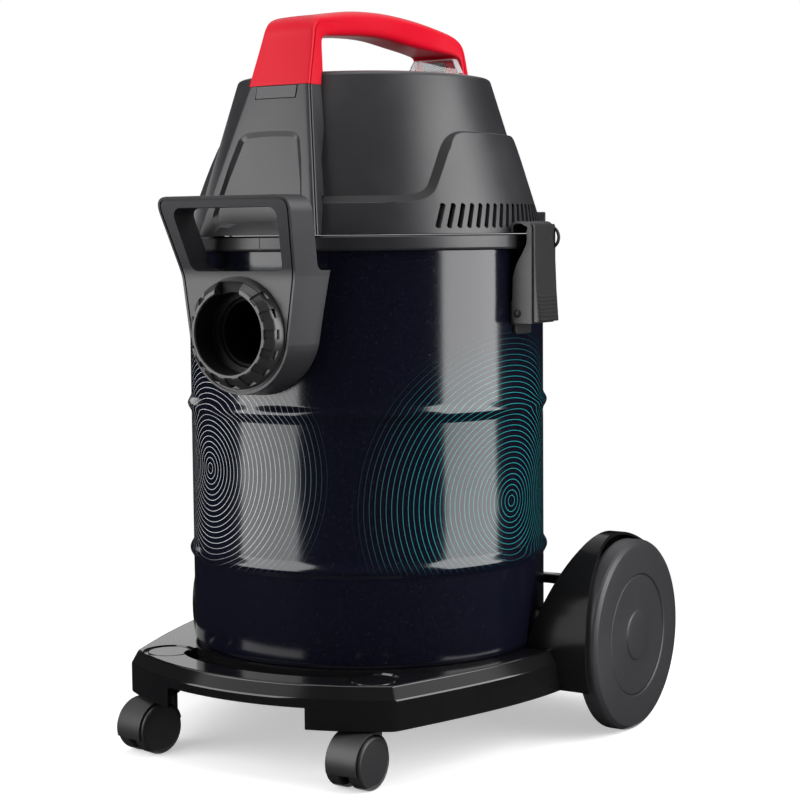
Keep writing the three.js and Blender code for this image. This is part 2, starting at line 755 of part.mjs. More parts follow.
function casterHood() {
  const band = prism(sector(hoodInner, hoodOuter, 12, 196), 'x', -hoodHalf, hoodHalf, 7);
  const web = prism(sector(0, hoodOuter, 12, 196), 'x', -webHalf, webHalf, 7);
  const hub = disc(7, -webHalf, webHalf, roundSmall, 'x');
  const axleHole = disc(casterAxleRadius + fit, -casterHalf, casterHalf, roundSmall, 'x');
  const stemBoss = disc(casterStemRadius + 3, casterRadius + 8, hoodOuter + casterRadius + 0.4, roundSmall);
  const stemHole = disc(casterStemRadius + fit, casterRadius + 12, 80, roundSmall);
  return solid(band)
    .add(solid(web))
    .add(solid(hub))
    .translate([0, -casterTrail, casterRadius])
    .add(solid(stemBoss).subtract(casterWheelSpace()))
    .subtract(solid(axleHole).translate([0, -casterTrail, casterRadius]))
    .subtract(solid(stemHole));
}

// The room that both wheels need to turn in.
function casterWheelSpace() {
  const rightRoom = disc(hoodInner, webHalf, casterHalf + 5, roundMedium, 'x');
  const leftRoom = disc(hoodInner, -casterHalf - 5, -webHalf, roundMedium, 'x');
  return solid(rightRoom).add(solid(leftRoom)).translate([0, -casterTrail, casterRadius]);
}

function casterStem() {
  return turnedSolid([
    [0, casterRadius + 12 + fit],
    [casterStemRadius, casterRadius + 12 + fit],
    [casterStemRadius, deckTopZ - 10],
    [casterStemRadius - 1, deckTopZ - 8 - fit],
    [0, deckTopZ - 8 - fit],
  ], roundSmall);
}

function casterAxle() {
  return solid(disc(casterAxleRadius, -casterHalf + 2, casterHalf - 2, roundSmall, 'x'));
}

function casterWheel(side) {
  const inside = webHalf + fit;
  const wheel = turnedSolid([
    [casterAxleRadius + fit, inside],
    [casterRadius - 1, inside],
    [casterRadius, inside + 1],
    [casterRadius, casterHalf - 1.6],
    [casterRadius - 1.6, casterHalf],
    [0, casterHalf],
    [0, casterHalf - 2 + fit],
    [casterAxleRadius + fit, casterHalf - 2 + fit],
  ], roundMedium, 'x');
  return side < 0 ? wheel.mirror([1, 0, 0]) : wheel;
}

function casters() {
  for (const side of ['left', 'right']) {
    const swivel = new THREE.Group();
    swivel.position.set(side === 'left' ? -casterX : casterX, casterY, 0);
    swivel.rotation.z = THREE.MathUtils.degToRad(casterTurns[side]);
    vacuum.add(swivel);
    piece(`caster_hood_${side}`, casterHood(), wheelPlastic, { parent: swivel });
    piece(`caster_stem_${side}`, casterStem(), steel, { parent: swivel });
    const wheels = [
      piece(`caster_axle_${side}`, casterAxle(), steel, { parent: swivel }),
      piece(`caster_wheel_${side}_a`, casterWheel(-1), wheelPlastic, { parent: swivel }),
      piece(`caster_wheel_${side}_b`, casterWheel(1), wheelPlastic, { parent: swivel }),
    ];
    for (const part of wheels) part.position.set(0, -casterTrail, casterRadius);
  }
}

// ---------------------------------------------------------------- motor head
const rimInner = rimRadius - rimWall;
const sealBottomZ = drumTopZ + fit;
const baseUnderZ = sealBottomZ + sealThickness + fit;
const baseTopZ = baseUnderZ + baseThickness;
const coverRadius = (z) => coverTopRadius + coverSlope * (coverTopZ - z);
const housingRadius = (z) => coverRadius(z) + skirtProud;

// The plate that closes the drum: rim band, locating spigot and motor intake.
function headBase() {
  const spigotOuter = drumRadius - drumWall - 1.6;
  const spigotInner = spigotOuter - spigotWall;
  return turnedSolid([
    [intakeRadius, baseUnderZ],
    [spigotInner, baseUnderZ],
    [spigotInner, baseUnderZ - spigotDepth],
    [spigotOuter, baseUnderZ - spigotDepth],
    [spigotOuter, baseUnderZ],
    [rimInner, baseUnderZ],
    [rimInner, rimBottomZ],
    [rimRadius, rimBottomZ],
    [rimRadius, rimTopZ - 0.8],
    [rimRadius - 0.8, rimTopZ],
    [drumRadius - 6, rimTopZ],
    [drumRadius - 7, baseTopZ],
    [intakeRadius, baseTopZ],
  ], roundLarge);
}

function rimSeal() {
  return turnedSolid([
    [drumRadius - drumWall, sealBottomZ],
    [drumRadius + drumBeadRise, sealBottomZ],
    [drumRadius + drumBeadRise, sealBottomZ + sealThickness],
    [drumRadius - drumWall, sealBottomZ + sealThickness],
  ], roundLarge);
}

// The vent housing steps down in an S from its high sides to its low front and back.
function housingStep(side) {
  const lowZ = ventHousingLowZ;
  const topZ = ventHousingTopZ;
  const footY = -ventStepFootY;
  const topY = -ventStepTopY;
  const shape = new THREE.Shape();
  shape.moveTo(-200, lowZ);
  shape.lineTo(footY, lowZ);
  shape.bezierCurveTo(footY + 17, lowZ, footY + 24, lowZ + 3, footY + 29, lowZ + 10);
  shape.lineTo(topY - 30, topZ - 21.5);
  shape.bezierCurveTo(topY - 23, topZ - 9.5, topY - 18, topZ - 3, topY, topZ + 0.2);
  shape.lineTo(topY, topZ + 10);
  shape.lineTo(-200, topZ + 10);
  const cut = prism(shape, 'x', -200, 200, 5);
  if (side > 0) cut.scale(1, -1, 1);
  return solid(cut);
}

function ventSlot(topY) {
  const end = ventWidth / 2;
  const shape = new THREE.Shape();
  shape.absarc(topY, ventTopZ - end, end, 0, Math.PI, false);
  shape.absarc(topY - ventLean, ventBottomZ + end, end, Math.PI, 2 * Math.PI, false);
  return prismSolid(shape, 'x', -200, 200, 1);
}

function ventHousing() {
  const bottomZ = rimTopZ + fit;
  const ledgeZ = coverBottomZ - fit;
  const shoulderZ = ventHousingTopZ - skirtProud;
  let housing = turnedSolid([
    [housingRadius(bottomZ) - ventHousingWall, bottomZ],
    [housingRadius(bottomZ), bottomZ],
    [housingRadius(shoulderZ), shoulderZ],
    [coverRadius(ventHousingTopZ) + 1.4, ventHousingTopZ],
    [coverRadius(ventHousingTopZ) + fit, ventHousingTopZ],
    [coverRadius(ledgeZ) + fit, ledgeZ],
    [coverRadius(ledgeZ) - coverWall - 1, ledgeZ],
    [coverRadius(ledgeZ) - coverWall - 1, ledgeZ - 2],
    [housingRadius(ledgeZ - 3) - ventHousingWall, ledgeZ - 3],
  ], roundLarge);
  housing = housing.subtract(housingStep(-1)).subtract(housingStep(1));
  const middle = (ventCount - 1) / 2;
  for (let i = 0; i < ventCount; i += 1) {
    housing = housing.subtract(ventSlot(ventPitch * (i - middle) - 2));
  }
  return housing.subtract(leadNotch()).add(onBothSides(gripLug()));
}

// A moulded lug that gives the fingers a hold while the latch is opened.
function gripLug() {
  const highZ = rimTopZ + lugTopRise;
  const outerX = rimRadius - lugInset;
  const innerX = outerX - 13;
  return boxSolid(innerX, outerX, lugY - lugHalf, lugY + lugHalf, highZ - lugHeight, highZ);
}

// Where the mains lead passes under the rear column into the motor space.
function leadNotch() {
  const wallY = housingRadius(glandZ);
  const round = disc(leadNotchHalf, wallY - 8, wallY + 8, roundSmall, 'y').translate(0, 0, glandZ);
  const open = boxSolid(-leadNotchHalf, leadNotchHalf, wallY - 8, wallY + 8, glandZ, ventHousingLowZ + 2);
  return solid(round).add(open);
}

function motorCover() {
  const inner = (z) => coverRadius(z) - coverWall;
  return turnedSolid([
    [inner(coverBottomZ), coverBottomZ],
    [coverRadius(coverBottomZ), coverBottomZ],
    [coverRadius(coverTopZ - 3), coverTopZ - 3],
    [coverTopRadius - 0.6, coverTopZ - 0.6],
    [coverTopRadius - 3.2, coverTopZ + 0.8],
    [coverTopRadius - 14, coverTopZ + 1.6],
    [0, coverTopZ + 3.4],
    [0, coverTopZ + 0.6],
    [coverTopRadius - 14, coverTopZ - 1.2],
    [inner(coverTopZ - 4), coverTopZ - 4],
  ].reverse(), roundLarge);
}

// Everything outside the head's cone and vent housing, with a fitting gap.
function headEnvelope() {
  return turnedSolid([
    [0, rimTopZ - 20],
    [housingRadius(rimTopZ - 20) + fit, rimTopZ - 20],
    [housingRadius(ventHousingLowZ) + fit, ventHousingLowZ + fit],
    [coverRadius(ventHousingLowZ) + fit, ventHousingLowZ + fit],
    [coverTopRadius + fit + 0.4, coverTopZ + 0.4],
    [coverTopRadius - 3 + fit, coverTopZ + 1 + fit],
    [0, coverTopZ + 3.8],
  ], roundLarge);
}

const columnFootZ = rimTopZ + fit;
const columnSlope = (columnBottomY - columnTopY) / (columnTopZ - columnFootZ);
const columnFaceY = (z) => columnTopY + columnSlope * (columnTopZ - z);
const columnHalf = (z) => columnTopHalf
  + (columnBottomHalf - columnTopHalf) * (columnTopZ - z) / (columnTopZ - columnFootZ);

function frontColumn() {
  const outer = mirroredHull([
    [columnTopHalf, columnTopY, columnTopZ],
    [columnTopHalf + 0.6, columnTopY + 36, columnTopZ],
    [columnBottomHalf, columnBottomY, columnFootZ],
    [columnBottomHalf - 9, columnBottomY + 39, columnFootZ],
  ]);
  const hollowTopZ = columnTopZ - columnWall;
  const hollow = mirroredHull([
    [columnTopHalf - columnWall, columnTopY + columnWall, hollowTopZ],
    [columnTopHalf - columnWall, columnTopY + 44, hollowTopZ],
    [columnBottomHalf - columnWall, columnBottomY + columnWall - 2, columnFootZ - 6],
    [columnBottomHalf - 9 - columnWall, columnBottomY + 49, columnFootZ - 6],
  ]);
  const faceSlab = mirroredHull([
    [90, columnFaceY(columnTopZ) - 20, columnTopZ],
    [90, columnFaceY(columnTopZ) + panelDepth, columnTopZ],
    [90, columnFaceY(columnFootZ) - 20, columnFootZ],
    [90, columnFaceY(columnFootZ) + panelDepth, columnFootZ],
  ]);
  return outer.subtract(headEnvelope())
    .subtract(hollow)
    .subtract(columnPanel().intersect(faceSlab))
    .subtract(clipPocket(fit));
}

// The outline of the recess in the column's face, arched over at its foot.
function columnPanel() {
  const topZ = columnTopZ - 39;
  const sideZ = topZ - 6;
  const lowZ = columnFootZ + 10.6;
  const lowHalf = columnHalf(lowZ + 6) - 12;
  const shape = new THREE.Shape();
  shape.moveTo(-lowHalf, lowZ);
  shape.quadraticCurveTo(0, lowZ + 8, lowHalf, lowZ);
  shape.lineTo(columnHalf(sideZ) - 11, sideZ);
  shape.quadraticCurveTo(columnHalf(topZ) - 12, topZ, columnHalf(topZ) - 17, topZ);
  shape.lineTo(17 - columnHalf(topZ), topZ);
  shape.quadraticCurveTo(12 - columnHalf(topZ), topZ, 11 - columnHalf(sideZ), sideZ);
  return prismSolid(shape, 'y', columnBottomY - 59, columnTopY + 24, 4);
}

// The release clip of the handle sits in a slot in the column's face.
function clipPocket(gap) {
  const half = clipHalf + gap;
  return boxSolid(-half, half, columnTopY - 16, columnFaceY(clipLowZ) + 3.4, clipLowZ - gap, columnTopZ + 5);
}

function columnClip() {
  const proud = 0.7;
  return mirroredHull([
    [clipHalf, columnFaceY(clipLowZ) - proud, clipLowZ],
    [clipHalf, columnFaceY(clipLowZ) + 2.4, clipLowZ],
    [clipHalf, columnFaceY(columnTopZ - fit) - proud, columnTopZ - fit],
    [clipHalf, columnFaceY(clipLowZ) + 2.4, columnTopZ - fit],
  ]);
}

// The rear column carries the handle's rear foot, the switch and the cable entry.
const rearSlope = (rearBottomY - rearShelfY) / (rearShelfZ - columnFootZ);
const rearFaceY = (z) => rearShelfY + rearSlope * (rearShelfZ - z);

function rearColumn() {
  const outer = mirroredHull([
    [rearShelfHalf, rearShelfY, rearShelfZ],
    [rearShelfHalf, rearShelfY - 53, rearShelfZ],
    [rearBottomHalf, rearBottomY, columnFootZ],
    [rearBottomHalf, rearBottomY - 36, columnFootZ],
  ]);
  const hollow = mirroredHull([
    [rearShelfHalf - columnWall, rearShelfY - columnWall, rearShelfZ - columnWall],
    [rearShelfHalf - columnWall, rearShelfY - 61, rearShelfZ - columnWall],
    [rearBottomHalf - columnWall, rearBottomY - columnWall, columnFootZ - 6],
    [rearBottomHalf - columnWall, rearBottomY - 46, columnFootZ - 6],
  ]);
  const glandHole = disc(glandRadius + fit, rearBottomY - 28, rearBottomY + 32, roundSmall, 'y');
  return outer.subtract(headEnvelope())
    .subtract(hollow)
    .subtract(solid(glandHole.translate(0, 0, glandZ)));
}

// Rubber bush where the mains lead would enter.
function cordGland() {
  const wallY = rearFaceY(glandZ - 10) + fit;
  const bush = turnedSolid([
    [3.6, wallY - 8],
    [glandRadius, wallY - 8],
    [glandRadius, wallY],
    [glandRadius + 3.5, wallY],
    [glandRadius + 3, wallY + 2.5],
    [glandRadius, wallY + 5],
    [3.6, wallY + 6],
  ], roundSmall, 'y');
  return bush.translate([0, 0, glandZ]);
}

// ---------------------------------------------------------------- carrying handle
function handleSideOutline() {
  const footZ = columnTopZ + fit;
  const topZ = handleTopZ;
  const frontY = columnTopY;
  const rearY = rearShelfY;
  const innerY = rearFootFrontY;
  const shape = new THREE.Shape();
  shape.moveTo(frontY, footZ);
  shape.lineTo(frontY + 14.5, topZ - 22);
  shape.quadraticCurveTo(frontY + 16.5, topZ - 16, frontY + 24, topZ - 13);
  shape.bezierCurveTo(frontY + 64, topZ - 4, frontY + 104, topZ, frontY + 142, topZ);
  shape.bezierCurveTo(innerY - 64, topZ, innerY - 29, topZ - 4, innerY, topZ - 11.5);
  shape.quadraticCurveTo(rearY - 14, topZ - 14, rearY - 12, topZ - 21);
  shape.lineTo(rearY - 1, rearShelfZ + fit);
  shape.lineTo(innerY, rearShelfZ + fit);
  shape.lineTo(innerY, topZ - 28);
  shape.bezierCurveTo(innerY - 19, topZ - 27.5, innerY - 44, topZ - 27, innerY - 69, topZ - 24.5);
  shape.bezierCurveTo(innerY - 99, topZ - 21.5, frontY + 114, topZ - 21, frontY + 84, topZ - 24);
  shape.bezierCurveTo(frontY + 64, topZ - 26, frontY + 44, topZ - 27, frontY + 36, topZ - 29);
  shape.quadraticCurveTo(frontY + 30, topZ - 31, frontY + 29, topZ - 39);
  shape.lineTo(frontY + handleFootDepth, footZ);
  return shape;
}

function handleFrontOutline() {
  const low = columnTopZ - 2;
  const shoulder = handleShoulderHalf;
  return [
    [-handleFootHalf, low],
    [handleFootHalf, low],
    [shoulder, handleTopZ - 21],
    [shoulder - 2.4, handleTopZ - 11],
    [shoulder - 7.8, handleTopZ + 1],
    [7.8 - shoulder, handleTopZ + 1],
    [2.4 - shoulder, handleTopZ - 11],
    [-shoulder, handleTopZ - 21],
  ];
}

function handlePlanOutline() {
  const wide = handleFootHalf + 2;
  const grip = handleGripHalf;
  const backY = rearShelfY + 1;
  const shape = new THREE.Shape();
  shape.moveTo(-wide, columnTopY - 16);
  shape.lineTo(wide, columnTopY - 16);
  shape.lineTo(wide, columnTopY + 28);
  shape.bezierCurveTo(grip, columnTopY + 54, grip, columnTopY + 74, grip, 0);
  shape.bezierCurveTo(grip, backY - 92, grip, backY - 62, wide, backY - 30);
  shape.lineTo(wide, backY - 18);
  shape.quadraticCurveTo(wide, backY, wide - 12, backY);
  shape.lineTo(-wide + 12, backY);
  shape.quadraticCurveTo(-wide, backY, -wide, backY - 18);
  shape.lineTo(-wide, backY - 30);
  shape.bezierCurveTo(-grip, backY - 62, -grip, backY - 92, -grip, 0);
  shape.bezierCurveTo(-grip, columnTopY + 74, -grip, columnTopY + 54, -wide, columnTopY + 28);
  return shape;
}

function carryHandle() {
  const lowZ = columnTopZ - 10;
  const highZ = handleTopZ + 10;
  return prismSolid(handleSideOutline(), 'x', -50, 50, 6)
    .intersect(prismSolid(handleFrontOutline(), 'y', columnTopY - 26, rearShelfY + 19))
    .intersect(prismSolid(handlePlanOutline(), 'z', lowZ, highZ, 6))
    .subtract(headEnvelope())
    .subtract(switchPocket(fit));
}

// ---------------------------------------------------------------- switch
const switchDepth = 11;
const switchHalfHeight = switchBodyHalf - 2.5;
const bezelThickness = 2;

function switchPocket(gap) {
  return boxSolid(
    switchX - switchBodyHalf - gap,
    switchX + switchBodyHalf + gap,
    rearFootFrontY - 10,
    rearFootFrontY + switchDepth + gap,
    switchZ - switchHalfHeight - gap,
    switchZ + switchHalfHeight + gap,
  );
}

function switchBody() {
  const faceY = rearFootFrontY - fit;
  const lipY = faceY - bezelThickness;
  const wide = switchBezelHalf;
  const tall = switchBezelHalf - 2.5;
  const bezel = boxSolid(switchX - wide, switchX + wide, lipY, faceY, switchZ - tall, switchZ + tall);
  const behind = boxSolid(-100, 100, faceY - 1, rearFootFrontY + switchDepth, switchZ - 50, switchZ + 50);
  return bezel.add(switchPocket(0).intersect(behind));
}

function rockerSwitch() {
  const back = rearFootFrontY - fit - bezelThickness - fit;
  const half = switchBodyHalf - 0.5;
  const rockerOutline = [
    [back, switchZ - 7.5],
    [back - 3.4, switchZ - 7.2],
    [back - 1.9, switchZ],
    [back - 3, switchZ + 7.2],
    [back - 1.6, switchZ + 7.5],
    [back, switchZ],
  ];
  return prismSolid(rockerOutline, 'x', switchX - half, switchX + half);
}

// Clear splash cover over the switch.
function switchCover() {
  const backY = rearFootFrontY - fit;
  const frontY = rearFootFrontY - 10;
  const lowZ = rearShelfZ + fit;
  const kneeZ = rearShelfZ + 14;
  const topZ = rearShelfZ + 26.4;
  const shell = (inset, open) => mirroredHull([
    [27 - inset, frontY + inset, lowZ + inset],
    [27 - inset, frontY + inset, kneeZ - inset / 2],
    [20.8 - inset, frontY + 1.5 + inset, topZ - inset],
    [27 - inset, backY + open, lowZ + inset],
    [27 - inset, backY + open, kneeZ - inset / 2],
    [20.8 - inset, backY + open, topZ - inset],
  ]);
  return shell(0, 0).subtract(shell(1.1, 2));
}

// ---------------------------------------------------------------- motor and fan
const gasketBottomZ = baseTopZ + fit;
const casingBottomZ = gasketBottomZ + 2.2 + fit;
const casingTopZ = casingBottomZ + fanCasingHeight;

function motorGasket() {
  return solid(ring(intakeRadius + 3, fanCasingRadius, gasketBottomZ, gasketBottomZ + 2.2, roundMedium));
}

function fanCasing() {
  return turnedSolid([
    [intakeRadius, casingBottomZ],
    [fanCasingRadius, casingBottomZ],
    [fanCasingRadius, casingTopZ],
    [motorRadius - 4, casingTopZ],
    [motorRadius - 4, casingTopZ - 1.6],
    [fanCasingRadius - 1.6, casingTopZ - 1.6],
    [fanCasingRadius - 1.6, casingBottomZ + 1.6],
    [intakeRadius, casingBottomZ + 1.6],
  ], roundMedium);
}

function suctionFan() {
  const low = casingBottomZ + fanGap - 2;
  const high = casingTopZ - fanGap;
  const radius = fanCasingRadius - fanGap;
  let fan = solid(ring(shaftRadius + fit, radius, high - 1.2, high, roundMedium))
    .add(solid(ring(intakeRadius - 2, radius, low, low + 1.2, roundMedium)))
    .add(solid(ring(shaftRadius + fit, 10, low, high, roundMedium)));
  const upward = new THREE.Vector3(0, 0, 1);
  const middle = (low + high) / 2;
  const half = (high - low) / 2 - 0.4;
  for (let i = 0; i < suctionBlades; i += 1) {
    const start = (2 * Math.PI * i) / suctionBlades;
    const at = (r, turn) => new THREE.Vector3(r, 0, middle).applyAxisAngle(upward, start + turn);
    const curve = new THREE.CatmullRomCurve3([at(24, 0), at(40, -0.35), at(radius - 1, -0.95)]);
    const section = outline([[-half, -0.7], [half, -0.7], [half, 0.7], [-half, 0.7]]);
    fan = fan.add(solid(new THREE.ExtrudeGeometry(section, { steps: 3, extrudePath: curve })));
  }
  return fan;
}

function motorFrame() {
  const low = casingTopZ + fit;
  const high = low + motorHeight;
  return turnedSolid([
    [motorRadius - 9, low],
    [motorRadius, low],
    [motorRadius, high - 8],
    [motorRadius - 8, high],
    [shaftRadius + 8, high],
    [shaftRadius + 8, high + 5],
    [shaftRadius + fit, high + 5],
    [shaftRadius + fit, high - 3],
    [motorRadius - 10, high - 3],
    [motorRadius - 3, high - 10],
    [motorRadius - 3, low + 44],
    [motorRadius - 14, low + 44],
    [motorRadius - 14, low + 8],
    [motorRadius - 9, low + 8],
  ], roundMedium);
}

function motorShaft() {
  const low = casingTopZ + fit;
  return turnedSolid([
    [0, casingBottomZ + 3],
    [shaftRadius, casingBottomZ + 3],
    [shaftRadius, low + 8],
    [motorRadius - 15, low + 8],
    [motorRadius - 15, low + 42],
    [14, low + 42],
    [14, low + 56],
    [shaftRadius, low + 56],
    [shaftRadius, low + 83],
    [0, low + 83],
  ], roundMedium);
}

function coolingFan() {
  const low = casingTopZ + fit + motorHeight + 5 + 1;
  let fan = solid(ring(shaftRadius + fit, 34, low, low + 1.2, roundMedium))
    .add(solid(ring(shaftRadius + fit, 9, low, low + 9, roundMedium)));
  for (let i = 0; i < coolingBlades; i += 1) {
    const blade = box(8.5, 33, -0.8, 0.8, low + 1, low + 8);
    fan = fan.add(solid(blade.rotateZ((2 * Math.PI * i) / coolingBlades)));
  }
  return fan;
}

// ---------------------------------------------------------------- filter and float
const cageTopZ = baseUnderZ - fit;

// Cage that guards the motor intake; its open windows let the air through.
function filterCage() {
  let cage = turnedSolid([
    [0, cageBottomZ],
    [cageRadius, cageBottomZ],
    [cageRadius, cageTopZ - 3],
    [cageRadius + 18, cageTopZ - 3],
    [cageRadius + 18, cageTopZ],
    [intakeRadius, cageTopZ],
    [intakeRadius, cageTopZ - 3],
    [cageRadius - 2, cageTopZ - 3],
    [cageRadius - 2, cageBottomZ + 2],
    [0, cageBottomZ + 2],
  ], roundMedium);
  for (let i = 0; i < cageWindows; i += 1) {
    const window = box(cageRadius - 20, cageRadius + 10, -22, 22, cageBottomZ + 10, cageTopZ - 18);
    cage = cage.subtract(solid(window.rotateZ((2 * Math.PI * i) / cageWindows)));
  }
  return cage.subtract(solid(disc(14, cageBottomZ - 5, cageBottomZ + 5, roundSmall)));
}

function filterSleeve() {
  const inner = cageRadius + fit + 0.4;
  const outer = inner + 3;
  return turnedSolid([
    [inner, cageBottomZ - 3],
    [inner, cageTopZ - 4],
    [outer, cageTopZ - 4],
    [outer, cageBottomZ - 6],
    [0, cageBottomZ - 6],
    [0, cageBottomZ - 3],
  ], roundMedium);
}

function filterRing() {
  const inner = cageRadius + fit + 3.4 + fit;
  return solid(ring(inner, inner + 3, cageTopZ - 16, cageTopZ - 8, roundMedium));
}

// The float lies on the cage floor and shuts the intake when the drum is full of water.
function floatBall() {
  const low = cageBottomZ + 2 + fit;
  return turnedSolid([
    [0, low],
    [floatRadius * 0.73, low],
    [floatRadius, low + floatHeight * 0.2],
    [floatRadius, low + floatHeight * 0.65],
    [floatRadius * 0.67, low + floatHeight * 0.9],
    [0, low + floatHeight],
  ], roundMedium);
}

// ---------------------------------------------------------------- latches
// Each latch hooks over the rim; its arm turns on a pin in the drum's bracket.
const bracketOuterX = drumRadius + 2.4;
const earHalf = latchHalfWidth - latchPlate - 0.5;

function latchBracket() {
  const drumSide = solid(disc(drumRadius + fit, latchPinZ - 60, latchPinZ + 50, roundLarge));
  const plate = boxSolid(drumRadius - 20, bracketOuterX, -13, 13, latchPinZ - 17, latchPinZ + 29)
    .subtract(drumSide);
  const earOutline = new THREE.Shape();
  earOutline.moveTo(drumRadius - 6, latchPinZ - 12);
  earOutline.lineTo(latchPinX, latchPinZ - 5.5);
  earOutline.absarc(latchPinX, latchPinZ, 5.5, -Math.PI / 2, Math.PI / 2, false);
  earOutline.lineTo(drumRadius - 6, latchPinZ + 12);
  const ears = prismSolid(earOutline, 'y', earHalf - 2, earHalf, 5)
    .add(prismSolid(earOutline, 'y', -earHalf, -earHalf + 2, 5))
    .add(boxSolid(drumRadius - 6, bracketOuterX, -earHalf, earHalf, latchPinZ - 9, latchPinZ + 9));
  const pinHole = disc(latchPinRadius + fit, -30, 30, roundSmall, 'y').translate(latchPinX, 0, latchPinZ);
  return plate.add(ears.subtract(drumSide)).subtract(solid(pinHole));
}

function latchPin() {
  const head = latchHalfWidth + fit;
  const pin = turnedSolid([
    [0, -head - 1.2],
    [3.2, -head - 1],
    [3.6, -head],
    [latchPinRadius, -head],
    [latchPinRadius, head],
    [3.6, head],
    [3.2, head + 1],
    [0, head + 1.2],
  ], roundSmall, 'y');
  return pin.translate([latchPinX, 0, latchPinZ]);
}

// Cheek plates joined by a web in front and by the hook that closes on the rim.
const knuckleX = latchFaceX - knuckleRadius;
const hookInnerX = rimRadius + fit;

// The arm's outer line runs up the web, round the knuckle and back along the hook.
function traceHook(shape) {
  shape.lineTo(latchFaceX, latchBottomZ - 1);
  shape.lineTo(latchFaceX, knuckleZ);
  shape.absarc(knuckleX, knuckleZ, knuckleRadius, 0, Math.PI / 2, false);
  shape.lineTo(hookInnerX + 3, latchTopZ);
  shape.quadraticCurveTo(hookInnerX, latchTopZ, hookInnerX, latchTopZ - 3);
  shape.lineTo(hookInnerX, rimTopZ + fit);
  shape.lineTo(hookInnerX + 2.2, rimTopZ + fit);
  shape.quadraticCurveTo(hookInnerX + 2.2, latchTopZ - 2.6, hookInnerX + 4.6, latchTopZ - 2.6);
}

function latchArm() {
  const cheek = new THREE.Shape();
  cheek.moveTo(latchPinX - 3, latchBottomZ - 1);
  traceHook(cheek);
  cheek.quadraticCurveTo(latchFaceX - 4.5, latchTopZ - 3, latchFaceX - 5, latchTopZ - 14);
  cheek.quadraticCurveTo(latchPinX + 2, latchPinZ + 50, latchPinX - 4, latchPinZ + 30);
  cheek.lineTo(latchPinX - 5, latchPinZ);
  const web = new THREE.Shape();
  web.moveTo(latchFaceX - latchPlate, latchBottomZ - 1);
  traceHook(web);
  web.quadraticCurveTo(latchFaceX - latchPlate, latchTopZ - 3, latchFaceX - latchPlate, latchTopZ - 12);
  const across = disc(latchPinRadius + fit, -30, 30, roundSmall, 'y');
  return prismSolid(cheek, 'y', latchHalfWidth - latchPlate, latchHalfWidth, 3)
    .add(prismSolid(cheek, 'y', -latchHalfWidth, -latchHalfWidth + latchPlate, 3))
    .add(prismSolid(web, 'y', -latchHalfWidth + 0.5, latchHalfWidth - 0.5, 3))
    .subtract(solid(across.clone().translate(latchPinX, 0, latchPinZ)))
    .subtract(solid(across.translate(knuckleX, 0, knuckleZ)));
}

// The thumb lever lies over the arm's face, turns on its knuckle and ends in a ribbed grip.
function latchLever() {
  const near = latchFaceX + fit;
  const wrap = 0.5;
  const shape = new THREE.Shape();
  shape.moveTo(near, latchBottomZ);
  shape.lineTo(near + 4.6, latchBottomZ);
  shape.lineTo(near + 2.6, latchBottomZ + 26);
  shape.lineTo(near + leverPlate, knuckleZ);
  shape.absarc(knuckleX, knuckleZ, knuckleRadius + fit + leverPlate, 0, wrap, false);
  shape.absarc(knuckleX, knuckleZ, knuckleRadius + fit, wrap, 0, true);
  let lever = prismSolid(shape, 'y', -latchHalfWidth + 2, latchHalfWidth + fit + 2.4, 4);
  for (let i = 0; i < leverRibs; i += 1) {
    const ribZ = latchBottomZ + 1.2 + leverRibPitch * i;
    const ribX = near + 4.5 - 0.3 * i;
    lever = lever.add(boxSolid(ribX - 1, ribX + 0.9, -latchHalfWidth + 6, latchHalfWidth, ribZ, ribZ + 1.8));
  }
  const earY = latchHalfWidth + fit;
  const ear = disc(10, earY, earY + 2.4, roundMedium, 'y').translate(knuckleX + 3, 0, knuckleZ - 4);
  const stub = disc(latchPinRadius, earY - latchPlate - 2, earY + 1, roundSmall, 'y');
  return lever.add(solid(ear)).add(solid(stub.translate(knuckleX, 0, knuckleZ)));
}

function latches() {
  for (const side of ['left', 'right']) {
    const mirrored = side === 'left';
    piece(`latch_bracket_${side}`, latchBracket(), steel, { mirrored });
    piece(`latch_pin_${side}`, latchPin(), steel, { mirrored });
    piece(`latch_arm_${side}`, latchArm(), satinBlack, { mirrored });
    piece(`latch_lever_${side}`, latchLever(), satinBlack, { mirrored });
  }
}

// ---------------------------------------------------------------- the whole vacuum
piece('dolly_base', dollyBase(), glossBlack);
piece('drum_shell', drumShell(), drumPaint);
piece('inlet_housing', inletHousing(), satinBlack);
piece('inlet_gasket', inletGasket(), rubber);
piece('inlet_collar', inletCollar().translate([0, 0, inletZ]), satinBlack);
piece('inlet_elbow', inletElbow(), satinBlack);
rearWheels();
casters();
latches();
piece('head_base', headBase(), satinBlack);
piece('rim_seal', rimSeal(), rubber);
piece('vent_housing', ventHousing(), satinBlack);
piece('motor_cover', motorCover(), satinBlack);
piece('front_column', frontColumn(), satinBlack);
piece('column_clip', columnClip(), satinBlack);
piece('rear_column', rearColumn(), satinBlack);
piece('cord_gland', cordGland(), rubber);
piece('carry_handle', carryHandle(), redPlastic);
piece('switch_body', switchBody(), satinBlack);
piece('rocker_switch', rockerSwitch(), satinBlack);
piece('switch_cover', switchCover(), clearPlastic);
piece('motor_gasket', motorGasket(), rubber);
piece('fan_casing', fanCasing(), steel);
piece('suction_fan', suctionFan(), steel);
piece('motor_frame', motorFrame(), steel);
piece('motor_shaft', motorShaft(), copper);
piece('cooling_fan', coolingFan(), whitePlastic);
piece('filter_cage', filterCage(), satinBlack);
piece('filter_sleeve', filterSleeve(), filterCloth);
piece('filter_ring', filterRing(), rubber);
piece('float', floatBall(), whitePlastic);

// The origin lies under the middle of the footprint, on the floor.
const bounds = new THREE.Box3().setFromObject(vacuum);
vacuum.position.y = -(bounds.min.y + bounds.max.y) / 2;
vacuum.position.z = -bounds.min.z;

export default vacuum;
